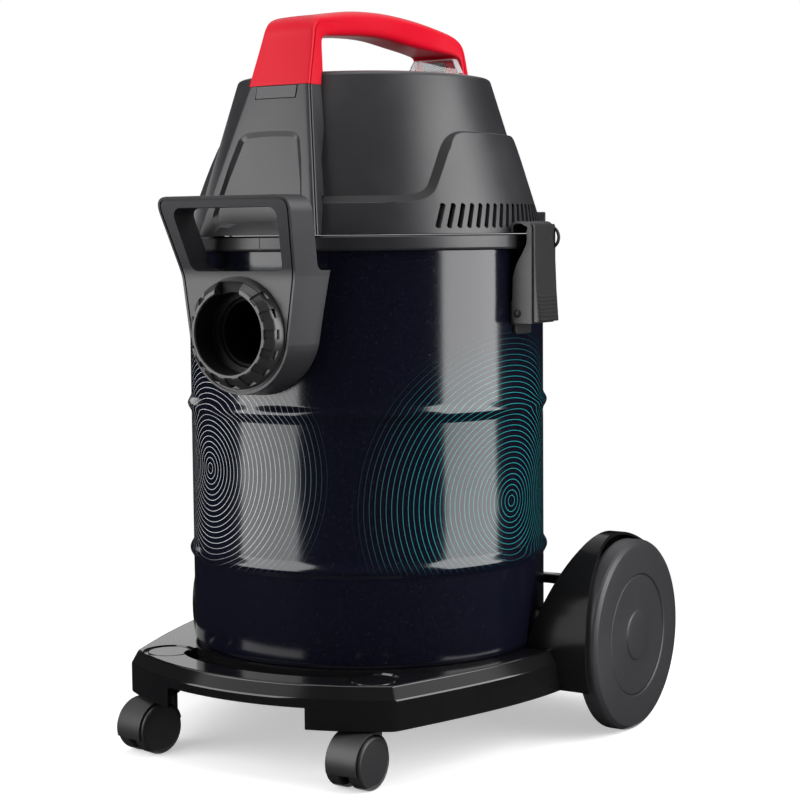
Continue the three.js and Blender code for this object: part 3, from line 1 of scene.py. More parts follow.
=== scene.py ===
# %% [markdown]
# A wet and dry drum vacuum on a wheeled dolly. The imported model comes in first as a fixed
# frame: its bodies, joints and plain solids are already in place and at their real size.
# Each cell below makes one piece of the real machine in fine detail and hangs it on the body
# that carries it, so a builder who moves a joint moves the fine pieces too.

# %% Load the frame
import math
import bmesh
import bpy
from mathutils import Matrix, Vector


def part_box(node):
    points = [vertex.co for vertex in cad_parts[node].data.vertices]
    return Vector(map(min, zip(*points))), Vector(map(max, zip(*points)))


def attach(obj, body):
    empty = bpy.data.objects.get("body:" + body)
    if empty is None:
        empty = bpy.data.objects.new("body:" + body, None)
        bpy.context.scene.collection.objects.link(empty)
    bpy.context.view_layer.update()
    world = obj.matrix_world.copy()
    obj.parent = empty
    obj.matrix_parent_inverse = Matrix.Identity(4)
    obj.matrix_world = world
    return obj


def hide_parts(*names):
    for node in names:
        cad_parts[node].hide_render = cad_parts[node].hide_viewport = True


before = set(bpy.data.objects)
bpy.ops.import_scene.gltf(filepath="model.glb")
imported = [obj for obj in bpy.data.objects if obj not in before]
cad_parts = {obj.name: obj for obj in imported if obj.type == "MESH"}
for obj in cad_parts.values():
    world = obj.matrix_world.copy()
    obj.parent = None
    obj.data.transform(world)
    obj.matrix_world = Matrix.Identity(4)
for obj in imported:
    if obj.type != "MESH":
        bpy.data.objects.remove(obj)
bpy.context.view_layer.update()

MM = 0.001
drum_low, drum_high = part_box("drum_shell")
drum_axis = (drum_low + drum_high) / 2
print("drum axis at y", round(drum_axis.y, 5))

# %% [markdown]
# The camera stands in front, a little to the right of the machine and just below the middle
# of its height. A long lens at a real distance keeps the drum's sides nearly upright.

# %% Camera
def new_object(name, data):
    made = bpy.data.objects.new(name, data)
    bpy.context.scene.collection.objects.link(made)
    return made


camera_data = bpy.data.cameras.new("camera")
camera_data.sensor_width = 36
camera_data.lens = 84.9
camera = new_object("camera", camera_data)
camera_place = Matrix.Translation((0.8882, -1.3324, 0.4202))
for degrees, axis in ((32.484, "Z"), (85.011, "X"), (-0.526, "Z")):
    camera_place = camera_place @ Matrix.Rotation(math.radians(degrees), 4, axis)
camera.matrix_world = camera_place
bpy.context.scene.camera = camera
print("camera", round(camera_data.lens, 1), "mm lens")

# %% [markdown]
# Materials and the studio are both built from shader nodes. A few helpers keep that short:
# one adds a node with its options and inputs, and the others make the steps used most often.
# A value that is the same all over goes straight on its socket, and the rest are linked.

# %% Shader helpers
def feed(tree, node, inputs):
    """Sets each input of a node to a value, or links it to a socket."""
    for name, value in inputs.items():
        if isinstance(value, bpy.types.NodeSocket):
            tree.links.new(value, node.inputs[name])
        else:
            node.inputs[name].default_value = value


def add(tree, kind, inputs=None, **options):
    """Adds a shader node with its options and inputs."""
    node = tree.nodes.new("ShaderNode" + kind)
    for name, value in options.items():
        setattr(node, name, value)
    feed(tree, node, inputs or {})
    return node


def maths(tree, operation, *values):
    return add(tree, "Math", dict(enumerate(values)), operation=operation).outputs[0]


def smooth_step(tree, value, start, end, first=0, last=1):
    """Goes smoothly from first to last while the value goes from start to end."""
    inputs = {"Value": value, "From Min": start, "From Max": end, "To Min": first, "To Max": last}
    return add(tree, "MapRange", inputs, interpolation_type="SMOOTHSTEP").outputs["Result"]


def new_material(name):
    made = bpy.data.materials.new(name)
    made.use_nodes = True
    return made, made.node_tree, made.node_tree.nodes["Principled BSDF"]


print("shader helpers: feed, add, maths, smooth_step, new_material")

# %% [markdown]
# Glossy black is drawn by what it reflects, so the studio matters more than the paint. Two
# tall soft boxes make the long highlights on the drum and a top box draws the edges. Dark
# cards that only reflections see stand between and beside the boxes, and one lies on the
# floor: they keep the rest of the drum and the dolly's gloss black in a white room.

# %% Studio
def as_object(bm, name="work"):
    mesh = bpy.data.meshes.new(name)
    bm.to_mesh(mesh)
    bm.free()
    return new_object(name, mesh)


def flat_sheet(name, width, tall):
    bm = bmesh.new()
    bmesh.ops.create_grid(bm, x_segments=1, y_segments=1, size=0.5)
    bmesh.ops.scale(bm, vec=(width, tall, 1), verts=bm.verts)
    return as_object(bm, name)


def stand(thing, azimuth, distance, height, aim, front):
    """Stands a lamp or card round the machine, its front axis towards a height on the drum."""
    turn = math.radians(azimuth)
    thing.location = (math.sin(turn) * distance, -math.cos(turn) * distance, height)
    toward = Vector((0, drum_axis.y, aim)) - thing.location
    thing.rotation_euler = toward.to_track_quat(front, "Y").to_euler()


def softbox(name, azimuth, distance, height, width, tall, glow):
    """A soft box whose face shines `glow` times as bright as white paper."""
    light = bpy.data.lights.new(name, "AREA")
    light.shape = "RECTANGLE"
    light.size, light.size_y = width, tall
    light.energy = glow * math.pi * width * tall
    stand(new_object(name, light), azimuth, distance, height, 0.3, "-Z")


def card(name, azimuth, distance, width, tall, middle=0.6):
    """A dark card that only reflections can see."""
    board = flat_sheet(name, width, tall)
    stand(board, azimuth, distance, middle, middle, "Z")
    board.visible_camera = board.visible_diffuse = board.visible_shadow = False
    board.visible_transmission = False
    paint, tree, shader = new_material(name)
    feed(tree, shader, {"Base Color": (0.012, 0.012, 0.013, 1), "Roughness": 0.9, "Specular IOR Level": 0})
    board.data.materials.append(paint)
    return board


softbox("right_box", 100, 1.0, 0.585, 0.8, 1.13, 5.4)
softbox("left_box", -30.2, 1.0, 0.54, 0.85, 1.04, 3.9)
softbox("top_box", 20, 0.25, 2.3, 1.6, 1.6, 1.6)
card("front_card", 35.5, 1.0, 1.84, 2.6)
card("left_card", -80, 2.4, 2.14, 2.6)
card("rear_right_card", 165, 2.4, 4.0, 2.6)
card("rear_left_card", -121, 2.4, 1.9, 1.3, middle=-0.25)
card("upper_left_card", -121, 2.4, 1.9, 1.2, middle=1.4)
floor_card = card("floor_card", 40, 0.3, 5.6, 5.6, middle=0.004)
floor_card.rotation_euler = (0, 0, 0)
print("studio:", len(bpy.data.lights), "soft boxes")

# %% [markdown]
# The world is white where the camera, a reflection or a clear cover looks at it, and a soft
# grey where it lights the object. The floor adds a little glow of its own for those rays, so
# only the contact shadows stay visible on it, and further out it turns plain white.

# %% World and floor
def white_rays(tree):
    """1 for the rays that should meet white: the camera's, reflections and those through clear plastic."""
    path = add(tree, "LightPath").outputs
    seen = maths(tree, "MAXIMUM", path["Is Camera Ray"], path["Is Glossy Ray"])
    return maths(tree, "MAXIMUM", seen, path["Is Transmission Ray"])


world = bpy.data.worlds.new("studio")
bpy.context.scene.world = world
world.use_nodes = True
tree = world.node_tree
strength = add(tree, "MapRange", {"Value": white_rays(tree), "To Min": 0.35}).outputs["Result"]
feed(tree, tree.nodes["Background"], {"Color": (1, 1, 1, 1), "Strength": strength})

floor = flat_sheet("floor", 12, 12)
paint, tree, shader = new_material("floor")
tree.nodes.remove(shader)
white = white_rays(tree)
lit = add(tree, "BsdfDiffuse", {"Color": (0.8, 0.8, 0.8, 1)})
glow = add(tree, "Emission", {"Strength": maths(tree, "MULTIPLY", white, 0.45)})
near = add(tree, "AddShader", {0: lit.outputs[0], 1: glow.outputs[0]})
plain = add(tree, "Emission", {"Strength": white})
place = add(tree, "TexCoord").outputs["Object"]
apart = add(tree, "VectorMath", {0: place}, operation="LENGTH").outputs["Value"]
faded = smooth_step(tree, apart, 0.35, 0.9)
blend = add(tree, "MixShader", {0: faded, 1: near.outputs[0], 2: plain.outputs[0]})
feed(tree, tree.nodes["Material Output"], {"Surface": blend.outputs[0]})
floor.data.materials.append(paint)
bpy.context.scene.view_settings.view_transform = "Standard"
print("world and floor:", world.name, floor.name)

# %% [markdown]
# Two small node groups serve every moulded finish. One gives the fine grain of the skin and
# a broad, slow unevenness; the other a faint handling haze that gathers in patches. Each
# puts out only values that vary over the surface, and the shader stays in the material.

# %% Shader groups
def new_group(name, inputs, outputs):
    group = bpy.data.node_groups.new(name, "ShaderNodeTree")
    for label, value in inputs.items():
        socket = group.interface.new_socket(label, in_out="INPUT", socket_type="NodeSocketFloat")
        socket.default_value = value
    for label in outputs:
        group.interface.new_socket(label, in_out="OUTPUT", socket_type="NodeSocketFloat")
    return group, group.nodes.new("NodeGroupInput").outputs, group.nodes.new("NodeGroupOutput")


def noise(tree, vector, scale, detail, roughness=0.5):
    inputs = {"Vector": vector, "Scale": scale, "Detail": detail, "Roughness": roughness}
    return add(tree, "TexNoise", inputs).outputs["Fac"]


skin, skin_in, skin_end = new_group("moulded_skin", {"Grain": 2600.0, "Broad": 14.0}, ("Grain", "Broad"))
place = add(skin, "TexCoord").outputs["Object"]
feed(skin, skin_end, {
    "Grain": noise(skin, place, skin_in["Grain"], 2), "Broad": noise(skin, place, skin_in["Broad"], 3, 0.6)})

haze, haze_in, haze_end = new_group("handling_haze", {"Patch": 9.0}, ("Haze",))
patches = noise(haze, add(haze, "TexCoord").outputs["Object"], haze_in["Patch"], 6, 0.62)
gathered = maths(haze, "MULTIPLY", maths(haze, "POWER", patches, 3), 3)
feed(haze, haze_end, {"Haze": maths(haze, "SMOOTH_MIN", gathered, 1.0, 0.2)})
print("groups:", [g.name for g in bpy.data.node_groups])

# %% [markdown]
# A moulded finish is one Principled shader whose roughness wanders a little with the broad
# noise and whose bump comes from the grain. The real mouldings differ mostly in gloss: satin
# on the head, hard gloss on the dolly, a softer black on the tyres. Metals share the recipe.

# %% Moulded and metal finishes
def use(tree, group, **values):
    """Places a node group in a material and gives its outputs."""
    return add(tree, "Group", values, node_tree=group).outputs


def mix(tree, factor, first, second):
    return add(tree, "Mix", {"Factor": factor, "A": first, "B": second}, data_type="RGBA").outputs["Result"]


def bumped(tree, height, depth):
    return add(tree, "Bump", {"Strength": 1, "Distance": depth * MM, "Height": height}).outputs["Normal"]


def make_finish(name, colour, roughness, swing=0.06, grain=2600.0, bump=0.02, lift=0.25,
                specular=0.5, metallic=0.0, transmission=0.0):
    """Handled patches are lifted towards grey, and bump is in millimetres."""
    made, tree, shader = new_material(name)
    surface, handled = use(tree, skin, Grain=grain), use(tree, haze)["Haze"]
    grey = 0.12
    lifted = [c + (grey - c) * lift if c < grey else c * (1 - lift / 2) for c in colour]
    wander = maths(tree, "MULTIPLY_ADD", surface["Broad"], 2 * swing, roughness - swing)
    feed(tree, shader, {
        "Base Color": mix(tree, maths(tree, "MULTIPLY", handled, 0.35), (*colour, 1), (*lifted, 1)),
        "Roughness": maths(tree, "MULTIPLY_ADD", handled, swing, wander),
        "Normal": bumped(tree, surface["Grain"], bump),
        "Specular IOR Level": specular, "Metallic": metallic, "Transmission Weight": transmission,
    })
    return made


satin_black = make_finish("satin_black", (0.0145, 0.0143, 0.0172), 0.36, bump=0.03)
# A darker, less glossy copy of the satin black: painted shade for the vent housing's sloped band and the rim
# band's top ledge.
painted_shade_black = make_finish("painted_shade_black", (0.009, 0.009, 0.0105), 0.5, bump=0.05, specular=0.25)
latch_black = make_finish("latch_black", (0.021, 0.02, 0.0205), 0.27)
# A darker, rougher black than the satin: painted shade for the socket's bore and the elbow inside it.
bore_shade_black = make_finish("bore_shade_black", (0.004, 0.004, 0.0045), 0.6, bump=0.04, specular=0.2)
smooth_skin = {"grain": 500.0, "bump": 0.004, "lift": 0.08}
gloss_black = make_finish("gloss_black", (0.0045, 0.0045, 0.005), 0.09, swing=0.03, **smooth_skin)
# The gloss black with its reflection turned almost off: painted shade for the dolly's chamfer and the faces
# over its rear wheels.
shaded_chamfer_black = make_finish("shaded_chamfer_black", (0.006, 0.006, 0.0065), 0.14, specular=0.08, **smooth_skin)
wheel_grey = make_finish("wheel_grey", (0.019, 0.0188, 0.0215), 0.44, bump=0.035)
caster_black = make_finish("caster_black", (0.012, 0.0118, 0.0135), 0.44, bump=0.035)
handle_red = make_finish("handle_red", (0.6, 0.001, 0.016), 0.36, bump=0.01, lift=0.1, specular=0.2)
rubber_black = make_finish("rubber_black", (0.012, 0.012, 0.012), 0.75, grain=1600.0, bump=0.06)
natural_white = make_finish("natural_white", (0.72, 0.72, 0.7), 0.45)
rocker_black = make_finish("rocker_black", (0.01, 0.01, 0.011), 0.3)
bright_steel = make_finish("bright_steel", (0.5, 0.51, 0.53), 0.32, grain=900.0, bump=0.01, metallic=1.0)
black_steel = make_finish("black_steel", (0.02, 0.02, 0.022), 0.28, grain=900.0, bump=0.01)
copper_core = make_finish("copper_core", (0.4, 0.22, 0.12), 0.45, grain=900.0, bump=0.01, metallic=1.0)
print("finishes:", len(bpy.data.materials))

# %% [markdown]
# The splash cover over the switch is clear plastic. Its walls let light through almost
# unchanged. Its rounded edges get a painted highlight: a pale, only partly clear finish that
# stands in for the light they catch and makes them look milky.

# %% Clear plastic
clear_cover, tree, shader = new_material("clear_cover")
feed(tree, shader, {
    "Base Color": (0.93, 0.95, 0.96, 1), "Transmission Weight": 1, "IOR": 1.46, "Roughness": 0.02})
# The painted highlight of the cover's rounded edges: pale grey and only partly clear.
cover_edge_highlight = make_finish("cover_edge_highlight", (0.62, 0.64, 0.66), 0.2, transmission=0.35)
print("clear plastic:", clear_cover.name, cover_edge_highlight.name)

# %% [markdown]
# The drum's print is plain: sets of thin rings, like ripples in water, white at the front
# and teal towards the side. Each set is worked out from the angle round the drum's axis and
# the height, so the rings wrap the steel without stretching, as a print does.

# %% Printed rings on the drum
def about_drum(tree):
    """Object coordinates about the drum's axis: the whole vector, and its three parts."""
    inputs = {"Vector": add(tree, "TexCoord").outputs["Object"], "Location": (0, -drum_axis.y, 0)}
    centred = add(tree, "Mapping", inputs).outputs["Vector"]
    return centred, add(tree, "SeparateXYZ", {"Vector": centred}).outputs


ripples, _, ripples_end = new_group("ripples", {}, ("Lines", "Teal"))
_, parts = about_drum(ripples)
turn = maths(ripples, "ARCTAN2", parts["X"], maths(ripples, "MULTIPLY", parts["Y"], -1))
WALL_RADIUS, RING_PITCH, LINE_HALF = 0.15, 0.0044, 0.0002


def ring_set(degrees, height, reach):
    """Thin rings about one point of the drum's unrolled wall, fading towards their reach."""
    across = maths(ripples, "MULTIPLY", maths(ripples, "SUBTRACT", turn, math.radians(degrees)), WALL_RADIUS)
    up = maths(ripples, "SUBTRACT", parts["Z"], height)
    squares = [maths(ripples, "MULTIPLY", side, side) for side in (across, up)]
    away = maths(ripples, "SQRT", maths(ripples, "ADD", *squares))
    step = maths(ripples, "FRACT", maths(ripples, "DIVIDE", away, RING_PITCH))
    off_line = maths(ripples, "ABSOLUTE", maths(ripples, "SUBTRACT", step, 0.5))
    line = maths(ripples, "GREATER_THAN", off_line, 0.5 - LINE_HALF / RING_PITCH)
    return maths(ripples, "MULTIPLY", line, smooth_step(ripples, away, reach * 0.55, reach, 1, 0))


both_sets = maths(ripples, "MAXIMUM", ring_set(-26, 0.232, 0.13), ring_set(84, 0.205, 0.15))
feed(ripples, ripples_end, {
    "Lines": maths(ripples, "MULTIPLY", both_sets, smooth_step(ripples, parts["Z"], 0.15, 0.175)),
    "Teal": smooth_step(ripples, turn, -0.2, 0.9)})
print("ripple nodes:", len(ripples.nodes))

# %% [markdown]
# The drum is sheet steel under a deep blue-black lacquer with a fine metallic fleck. The
# fleck is the brightest corner of a cell pattern, raised to a high power so that only a few
# cells show, and the same pattern lifts the lacquer by a hair.

# %% Drum lacquer
drum_paint, tree, shader = new_material("drum_paint")
printed, surface = use(tree, ripples), use(tree, skin, Grain=700, Broad=10)
flake = add(tree, "TexVoronoi", {"Scale": 1500, "Vector": add(tree, "TexCoord").outputs["Object"]})
sparkle = maths(tree, "POWER", flake.outputs["Color"], 7)
lacquer = mix(tree, sparkle, (0.0032, 0.0036, 0.0085, 1), (0.016, 0.017, 0.03, 1))
ink = mix(tree, printed["Teal"], (0.66, 0.69, 0.7, 1), (0.02, 0.34, 0.36, 1))
feed(tree, shader, {
    "Base Color": mix(tree, maths(tree, "MULTIPLY", printed["Lines"], 0.8), lacquer, ink),
    "Roughness": maths(tree, "MULTIPLY_ADD", surface["Broad"], 0.06, 0.1),
    "Normal": bumped(tree, maths(tree, "MULTIPLY_ADD", sparkle, 1.2, surface["Grain"]), 0.01),
})
print("drum lacquer:", len(tree.nodes), "nodes")

# %% [markdown]
# All pieces are drawn in millimetres about the drum's axis. Most start as a flat outline, so
# the first helpers round the corners of an outline and draw its arcs and free curves.

# %% Outline helpers
def bend(start, tip, end, steps):
    """A soft corner from start to end, pulled towards the tip."""
    start, tip, end = Vector(start), Vector(tip), Vector(end)
    turns = [k / steps for k in range(steps + 1)]
    return [tuple((1 - t) ** 2 * start + 2 * t * (1 - t) * tip + t * t * end) for t in turns]


def rounded(points, steps=4, closed=False):
    """Rounds every corner whose third number, its radius, is above zero."""
    made = []
    for i, point in enumerate(points):
        radius = point[2] if len(point) > 2 else 0
        here = Vector(point[:2])
        if radius <= 0 or (not closed and i in (0, len(points) - 1)):
            made.append(tuple(here))
            continue
        back = Vector(points[i - 1][:2]) - here
        ahead = Vector(points[(i + 1) % len(points)][:2]) - here
        reach = min(radius / math.tan(back.angle(ahead) / 2), back.length * 0.49, ahead.length * 0.49)
        made += bend(here + back.normalized() * reach, here, here + ahead.normalized() * reach, steps)
    return made


def arc(centre, radius, first, last, steps):
    """Points on a circle, angles in degrees."""
    turns = [math.radians(first + (last - first) * k / steps) for k in range(steps + 1)]
    return [(centre[0] + radius * math.cos(a), centre[1] + radius * math.sin(a)) for a in turns]


def curve(start, pull_a, pull_b, end, steps=10):
    """Points on a cubic curve, without its first point."""
    a, b, c, d = map(Vector, (start, pull_a, pull_b, end))
    made = []
    for k in range(1, steps + 1):
        t = k / steps
        made.append(tuple((1 - t) ** 3 * a + 3 * t * (1 - t) ** 2 * b + 3 * t * t * (1 - t) * c + t ** 3 * d))
    return made


def with_twin(half):
    """A half outline and its reflection, joined at the two points on the middle line."""
    return half + [(-x, y) for x, y in reversed(half[1:-1])]


print("outline helpers: bend, rounded, arc, curve, with_twin")

# %% [markdown]
# An outline becomes a body by spinning it, by pushing it along an axis or by wrapping a
# convex skin round a few corners. The small helpers after them move, turn and mirror a body.

# %% Body helpers
def tidy(bm):
    bmesh.ops.remove_doubles(bm, verts=bm.verts, dist=1e-4)
    bmesh.ops.recalc_face_normals(bm, faces=bm.faces)
    return bm


def moved(bm, x=0, y=0, z=0):
    bmesh.ops.translate(bm, vec=(x, y, z), verts=bm.verts)
    return bm


def swung(bm, degrees, axis="Z"):
    matrix = Matrix.Rotation(math.radians(degrees), 3, axis)
    bmesh.ops.rotate(bm, verts=bm.verts, cent=(0, 0, 0), matrix=matrix)
    return bm


def flipped(bm):
    """The same body on the other side of X = 0."""
    bmesh.ops.scale(bm, vec=(-1, 1, 1), verts=bm.verts)
    bmesh.ops.reverse_faces(bm, faces=bm.faces)
    return bm


def turned(profile, steps=144, axis="Z"):
    """Spins a profile of (radius, height) pairs into a closed body."""
    bm = bmesh.new()
    row = [bm.verts.new((r, 0, h)) for r, h, *_ in profile]
    if profile[0][0] > 1e-6:
        row.append(row[0])
    edges = [bm.edges.new(pair) for pair in zip(row, row[1:])]
    bmesh.ops.spin(bm, geom=list(bm.verts) + edges, cent=(0, 0, 0), axis=(0, 0, 1), dvec=(0, 0, 0),
                   angle=2 * math.pi, steps=steps, use_merge=True, use_duplicate=False)
    if axis != "Z":
        swung(bm, *((-90, "X") if axis == "Y" else (90, "Y")))
    return tidy(bm)


def rod(radius, low, high, steps=48, axis="Z", x=0, y=0, z=0):
    """A plain round body along an axis, for plugs and drills."""
    return moved(turned([(0, low), (radius, low), (radius, high), (0, high)], steps, axis), x, y, z)


def slab(outline, start, end, axis="Y"):
    """Extrudes an outline. It lies in XZ for Y, in YZ for X and in XY for Z."""
    slot = "XYZ".index(axis)
    bm = bmesh.new()
    face = bm.faces.new([bm.verts.new((*uv[:slot], start, *uv[slot:2])) for uv in outline])
    grown = bmesh.ops.extrude_face_region(bm, geom=[face])
    pushed = [v for v in grown["geom"] if isinstance(v, bmesh.types.BMVert)]
    bmesh.ops.translate(bm, vec=[(end - start) * (axis == letter) for letter in "XYZ"], verts=pushed)
    return tidy(bm)


def block(x0, x1, y0, y1, z0, z1):
    bm = bmesh.new()
    bmesh.ops.create_cube(bm, size=1)
    bmesh.ops.scale(bm, vec=(x1 - x0, y1 - y0, z1 - z0), verts=bm.verts)
    return moved(bm, (x0 + x1) / 2, (y0 + y1) / 2, (z0 + z1) / 2)


def hull(corners, mirrored=True):
    """The convex body through a few corners, and through their twins across X = 0."""
    bm = bmesh.new()
    for x, y, z in corners:
        bm.verts.new((x, y, z))
        if mirrored:
            bm.verts.new((-x, y, z))
    made = bmesh.ops.convex_hull(bm, input=bm.verts)
    inside = [v for v in made["geom_interior"] if isinstance(v, bmesh.types.BMVert)]
    bmesh.ops.delete(bm, geom=inside, context="VERTS")
    bmesh.ops.dissolve_limit(bm, angle_limit=math.radians(0.4), verts=bm.verts, edges=bm.edges)
    return tidy(bm)


def together(*bodies):
    """Several separate bodies kept in one."""
    bm = bmesh.new()
    for body in bodies:
        part = bpy.data.meshes.new("part")
        body.to_mesh(part)
        body.free()
        bm.from_mesh(part)
        bpy.data.meshes.remove(part)
    return bm


print("body helpers: turned, rod, slab, block, hull")

# %% [markdown]
# Booleans cut the openings and join the parts of a moulding. A bevel then rounds the edges
# that stay sharp, because no moulded or pressed edge is truly sharp and the roundings catch
# the light. The last helpers bring a body to metres and to its place, hang it on the machine
# and give some of its faces a second finish.

# %% Cutting, rounding and placing helpers
def carve(body, *tools, how="DIFFERENCE", clean=True):
    """Cuts the tools from a body, joins them to it or keeps what they share with it."""
    work = as_object(body)
    helpers = [as_object(tool) for tool in tools]
    for helper in helpers:
        step = work.modifiers.new("cut", "BOOLEAN")
        step.operation, step.solver, step.object = how, "EXACT", helper
    graph = bpy.context.evaluated_depsgraph_get()
    shaped = bpy.data.meshes.new_from_object(work.evaluated_get(graph))
    made = bmesh.new()
    made.from_mesh(shaped)
    for used in [work, *helpers]:
        mesh = used.data
        bpy.data.objects.remove(used)
        bpy.data.meshes.remove(mesh)
    bpy.data.meshes.remove(shaped)
    bmesh.ops.remove_doubles(made, verts=made.verts, dist=1e-3)
    if clean:
        bmesh.ops.dissolve_limit(made, angle_limit=math.radians(0.3), verts=made.verts, edges=made.edges)
    return made


def soften(bm, width, angle=35, segments=2, where=None):
    """Rounds the sharp edges, or those of them whose middle passes the test."""
    sharp = []
    for edge in bm.edges:
        if len(edge.link_faces) != 2 or edge.calc_face_angle(0) < math.radians(angle):
            continue
        if where is None or where((edge.verts[0].co + edge.verts[1].co) / 2):
            sharp.append(edge)
    bmesh.ops.bevel(bm, geom=sharp, offset=width, offset_type="OFFSET", segments=segments, profile=0.5,
                    affect="EDGES", clamp_overlap=True, material=-1)
    return bm


def piece(name, bm, finish, slot, body, *nodes, sharp=32, flat=False):
    """Brings a body to metres and to its place, and hangs it on the machine."""
    moved(bm, drum_axis.x / MM, drum_axis.y / MM)
    bmesh.ops.scale(bm, vec=(MM, MM, MM), verts=bm.verts)
    for face in bm.faces:
        face.smooth = True
    made = as_object(bm, name)
    made.data.set_sharp_from_angle(angle=math.radians(sharp))
    made.data.materials.append(finish)
    if flat:
        even = made.modifiers.new("even_shading", "WEIGHTED_NORMAL")
        even.keep_sharp = True
    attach(made, body)
    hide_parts(*nodes)
    print(name, len(made.data.polygons), "faces")
    return made


def refinish(made, finish, where):
    """Gives a second finish to faces by their middle, in millimetres about the axis, and normal."""
    made.data.materials.append(finish)
    for face in made.data.polygons:
        if where((face.center - Vector((drum_axis.x, drum_axis.y, 0))) / MM, face.normal):
            face.material_index = 1


print("placing helpers: carve, soften, piece, refinish")

# %% [markdown]
# The drum is rolled sheet with two stiffening beads pressed out of it and a curled mouth. It
# could be a cylinder with its rings scaled by hand; spinning one true section is quicker and
# keeps the wall's thickness, because the inner line is the outer one set in by the wall.

# %% Drum
SOCKET_Z = 346                   # the middle of the hose socket
BEAD_HEIGHTS = (157.2, 280.8)
DRUM_RADIUS, SHEET = 150, 1.2    # the wall's outside and its thickness


def drum_line(inset):
    steps = [-1 + k / 8 for k in range(17)]
    return [(DRUM_RADIUS + 1.55 * (1 + math.cos(math.pi * step)) - inset, bead + 8 * step)
            for bead in BEAD_HEIGHTS for step in steps]


drum_profile = rounded([
    (0, 87.8), (142, 87.8, 2), (142, 79.8, 1.5), (148, 79.8, 1), (150, 83.8, 2), *drum_line(0),
    (150, 408.4, 1), (152.6, 410, 0.8), (153, 412, 0.6), (151.6, 412.2), (148.8, 411.8),
    *reversed(drum_line(SHEET)), (148.8, 89, 1), (0, 89),
])
drum = carve(turned(drum_profile, 192), rod(29, -170, -120, 64, "Y", z=SOCKET_Z))
piece("drum", drum, drum_paint, "drum_paint", "base", "drum_shell", sharp=40)

# %% [markdown]
# The head closes the drum with a rim band, a plate and a spigot that drops inside the wall.
# One section gives all three. The band carries a small seam where its mould halves meet.

# %% Rim band and head plate
head_plate = turned(rounded([
    (26, 414), (144.2, 414), (144.2, 398, 1), (147.2, 398, 1), (147.2, 414), (153.6, 414), (153.6, 408.8, 0.4),
    (155.9, 408.8, 0.6), (156.6, 410.4, 0.6), (156.6, 419.2, 0.4), (155.9, 419.7, 0.3), (150.6, 420.6),
    (143.4, 420.6, 0.4), (143, 418), (26, 418),
]), 192)
seam = swung(block(-0.35, 0.35, -157.4, -156.2, 400, 425), 1.5)
head_plate = piece("head_plate", carve(head_plate, seam), satin_black, "satin_black", "head", "head_base")
# The rim band's top ledge takes the darker copy of the satin black, a painted shade.
refinish(head_plate, painted_shade_black, lambda place, normal: place.z > 419.6 and normal.z > 0.8)
piece("rim_ring", turned(rounded([
    (148.8, 412.4), (153, 412.4, 0.5), (153, 413.7, 0.5), (148.8, 413.7),
]), 96), rubber_black, "rubber", "head", "rim_seal")

# %% [markdown]
# The upper cover is a blunt cone with a softly rolled shoulder and a top that is very
# slightly domed, so it never reads as a flat disc.

# %% Motor cover
def cover_radius(z):
    """The cone's outside at a height."""
    return 106.32 + 0.31 * (548.6 - z)


motor_cover = turned(rounded([
    (0, 552), (60, 551.75, 60), (96, 550.9, 12), (cover_radius(549) - 0.2, 549, 4.2),
    (cover_radius(449.4), 449.4), (cover_radius(449.4) - 2.6, 449.4), (cover_radius(543.6) - 2.6, 544.6),
    (90, 547.6), (0, 549.2),
], steps=8), 192)
piece("motor_cover", motor_cover, satin_black, "satin_black", "head", "motor_cover", sharp=40)

# %% [markdown]
# Shapes that aren't turned or pushed along a line are lofted: a row of closed loops with the
# same number of points is bridged, one pair of loops after another. The ends are closed with
# a face, or the last loop is joined to the first, which gives a ring or a pipe.

# %% Lofting helper
def loft(loops, ring=False):
    """Joins closed loops of points, in order, and closes both ends."""
    bm = bmesh.new()
    rows = [[bm.verts.new(point) for point in loop] for loop in loops]
    edges = [[bm.edges.new((row[i - 1], row[i])) for i in range(len(row))] for row in rows]
    for first, second in zip(edges, edges[1:] + (edges[:1] if ring else [])):
        bmesh.ops.bridge_loops(bm, edges=first + second)
    if not ring:
        bmesh.ops.contextual_create(bm, geom=edges[0])
        bmesh.ops.contextual_create(bm, geom=edges[-1])
    return tidy(bm)


print("lofting helper: loft")

# %% [markdown]
# The vent housing wraps the cone and steps down in an S from its high sides to a low front
# and back, with a sloped band along the whole edge. Cutting the S from a spun shell leaves a
# plain square edge, so the shell is bridged from rings of points instead: each point of the
# S has a partner on the outer skin, set off square to the edge by the width of the band.

# %% Vent housing
def housing_radius(z):
    """The housing stands five millimetres off the cone."""
    return cover_radius(z) + 5


def on_skin(turn, radius, z):
    """A point at an angle from the front, seen from above."""
    return (radius * math.sin(turn), -radius * math.cos(turn), z)


def quarter_edge():
    """A quarter of the upper edge from the front to the side, as (turn, height, width of the band)."""
    low, high = 451.2, 502.5
    start = math.acos(105 / (cover_radius(low) + 0.3))
    edge = [(start * k / 13, low, 5.3) for k in range(13)]
    steps = [(-105, low)] + curve((-105, low), (-88, low), (-81.5, 453.2), (-76.5, 460.5), 9)
    steps += [(-76.5 + 12.5 * k / 5, 460.5 + 20.5 * k / 5) for k in range(1, 5)]
    steps += [(-64, 481)] + curve((-64, 481), (-57.5, 491.6), (-51, high), (-35, high), 11)
    for y, z in steps:
        lift = max(0, min(1, (z - 492) / 9))
        edge.append((math.acos(-y / (cover_radius(z) + 0.3)), z, 5.2 - 4.2 * lift ** 1.5))
    last = math.acos(35 / (cover_radius(high) + 0.3))
    edge += [(last + (math.pi / 2 - last) * k / 7, high, 1.0) for k in range(1, 8)]
    return edge


def band_partner(before, here, after):
    """The point on the outer skin that the sloped band reaches, square to the edge."""
    radius = cover_radius(here[1])
    along = Vector(((after[0] - before[0]) * radius, after[1] - before[1])).normalized()
    return here[0] + along.y * here[2] / radius, here[1] - along.x * here[2]


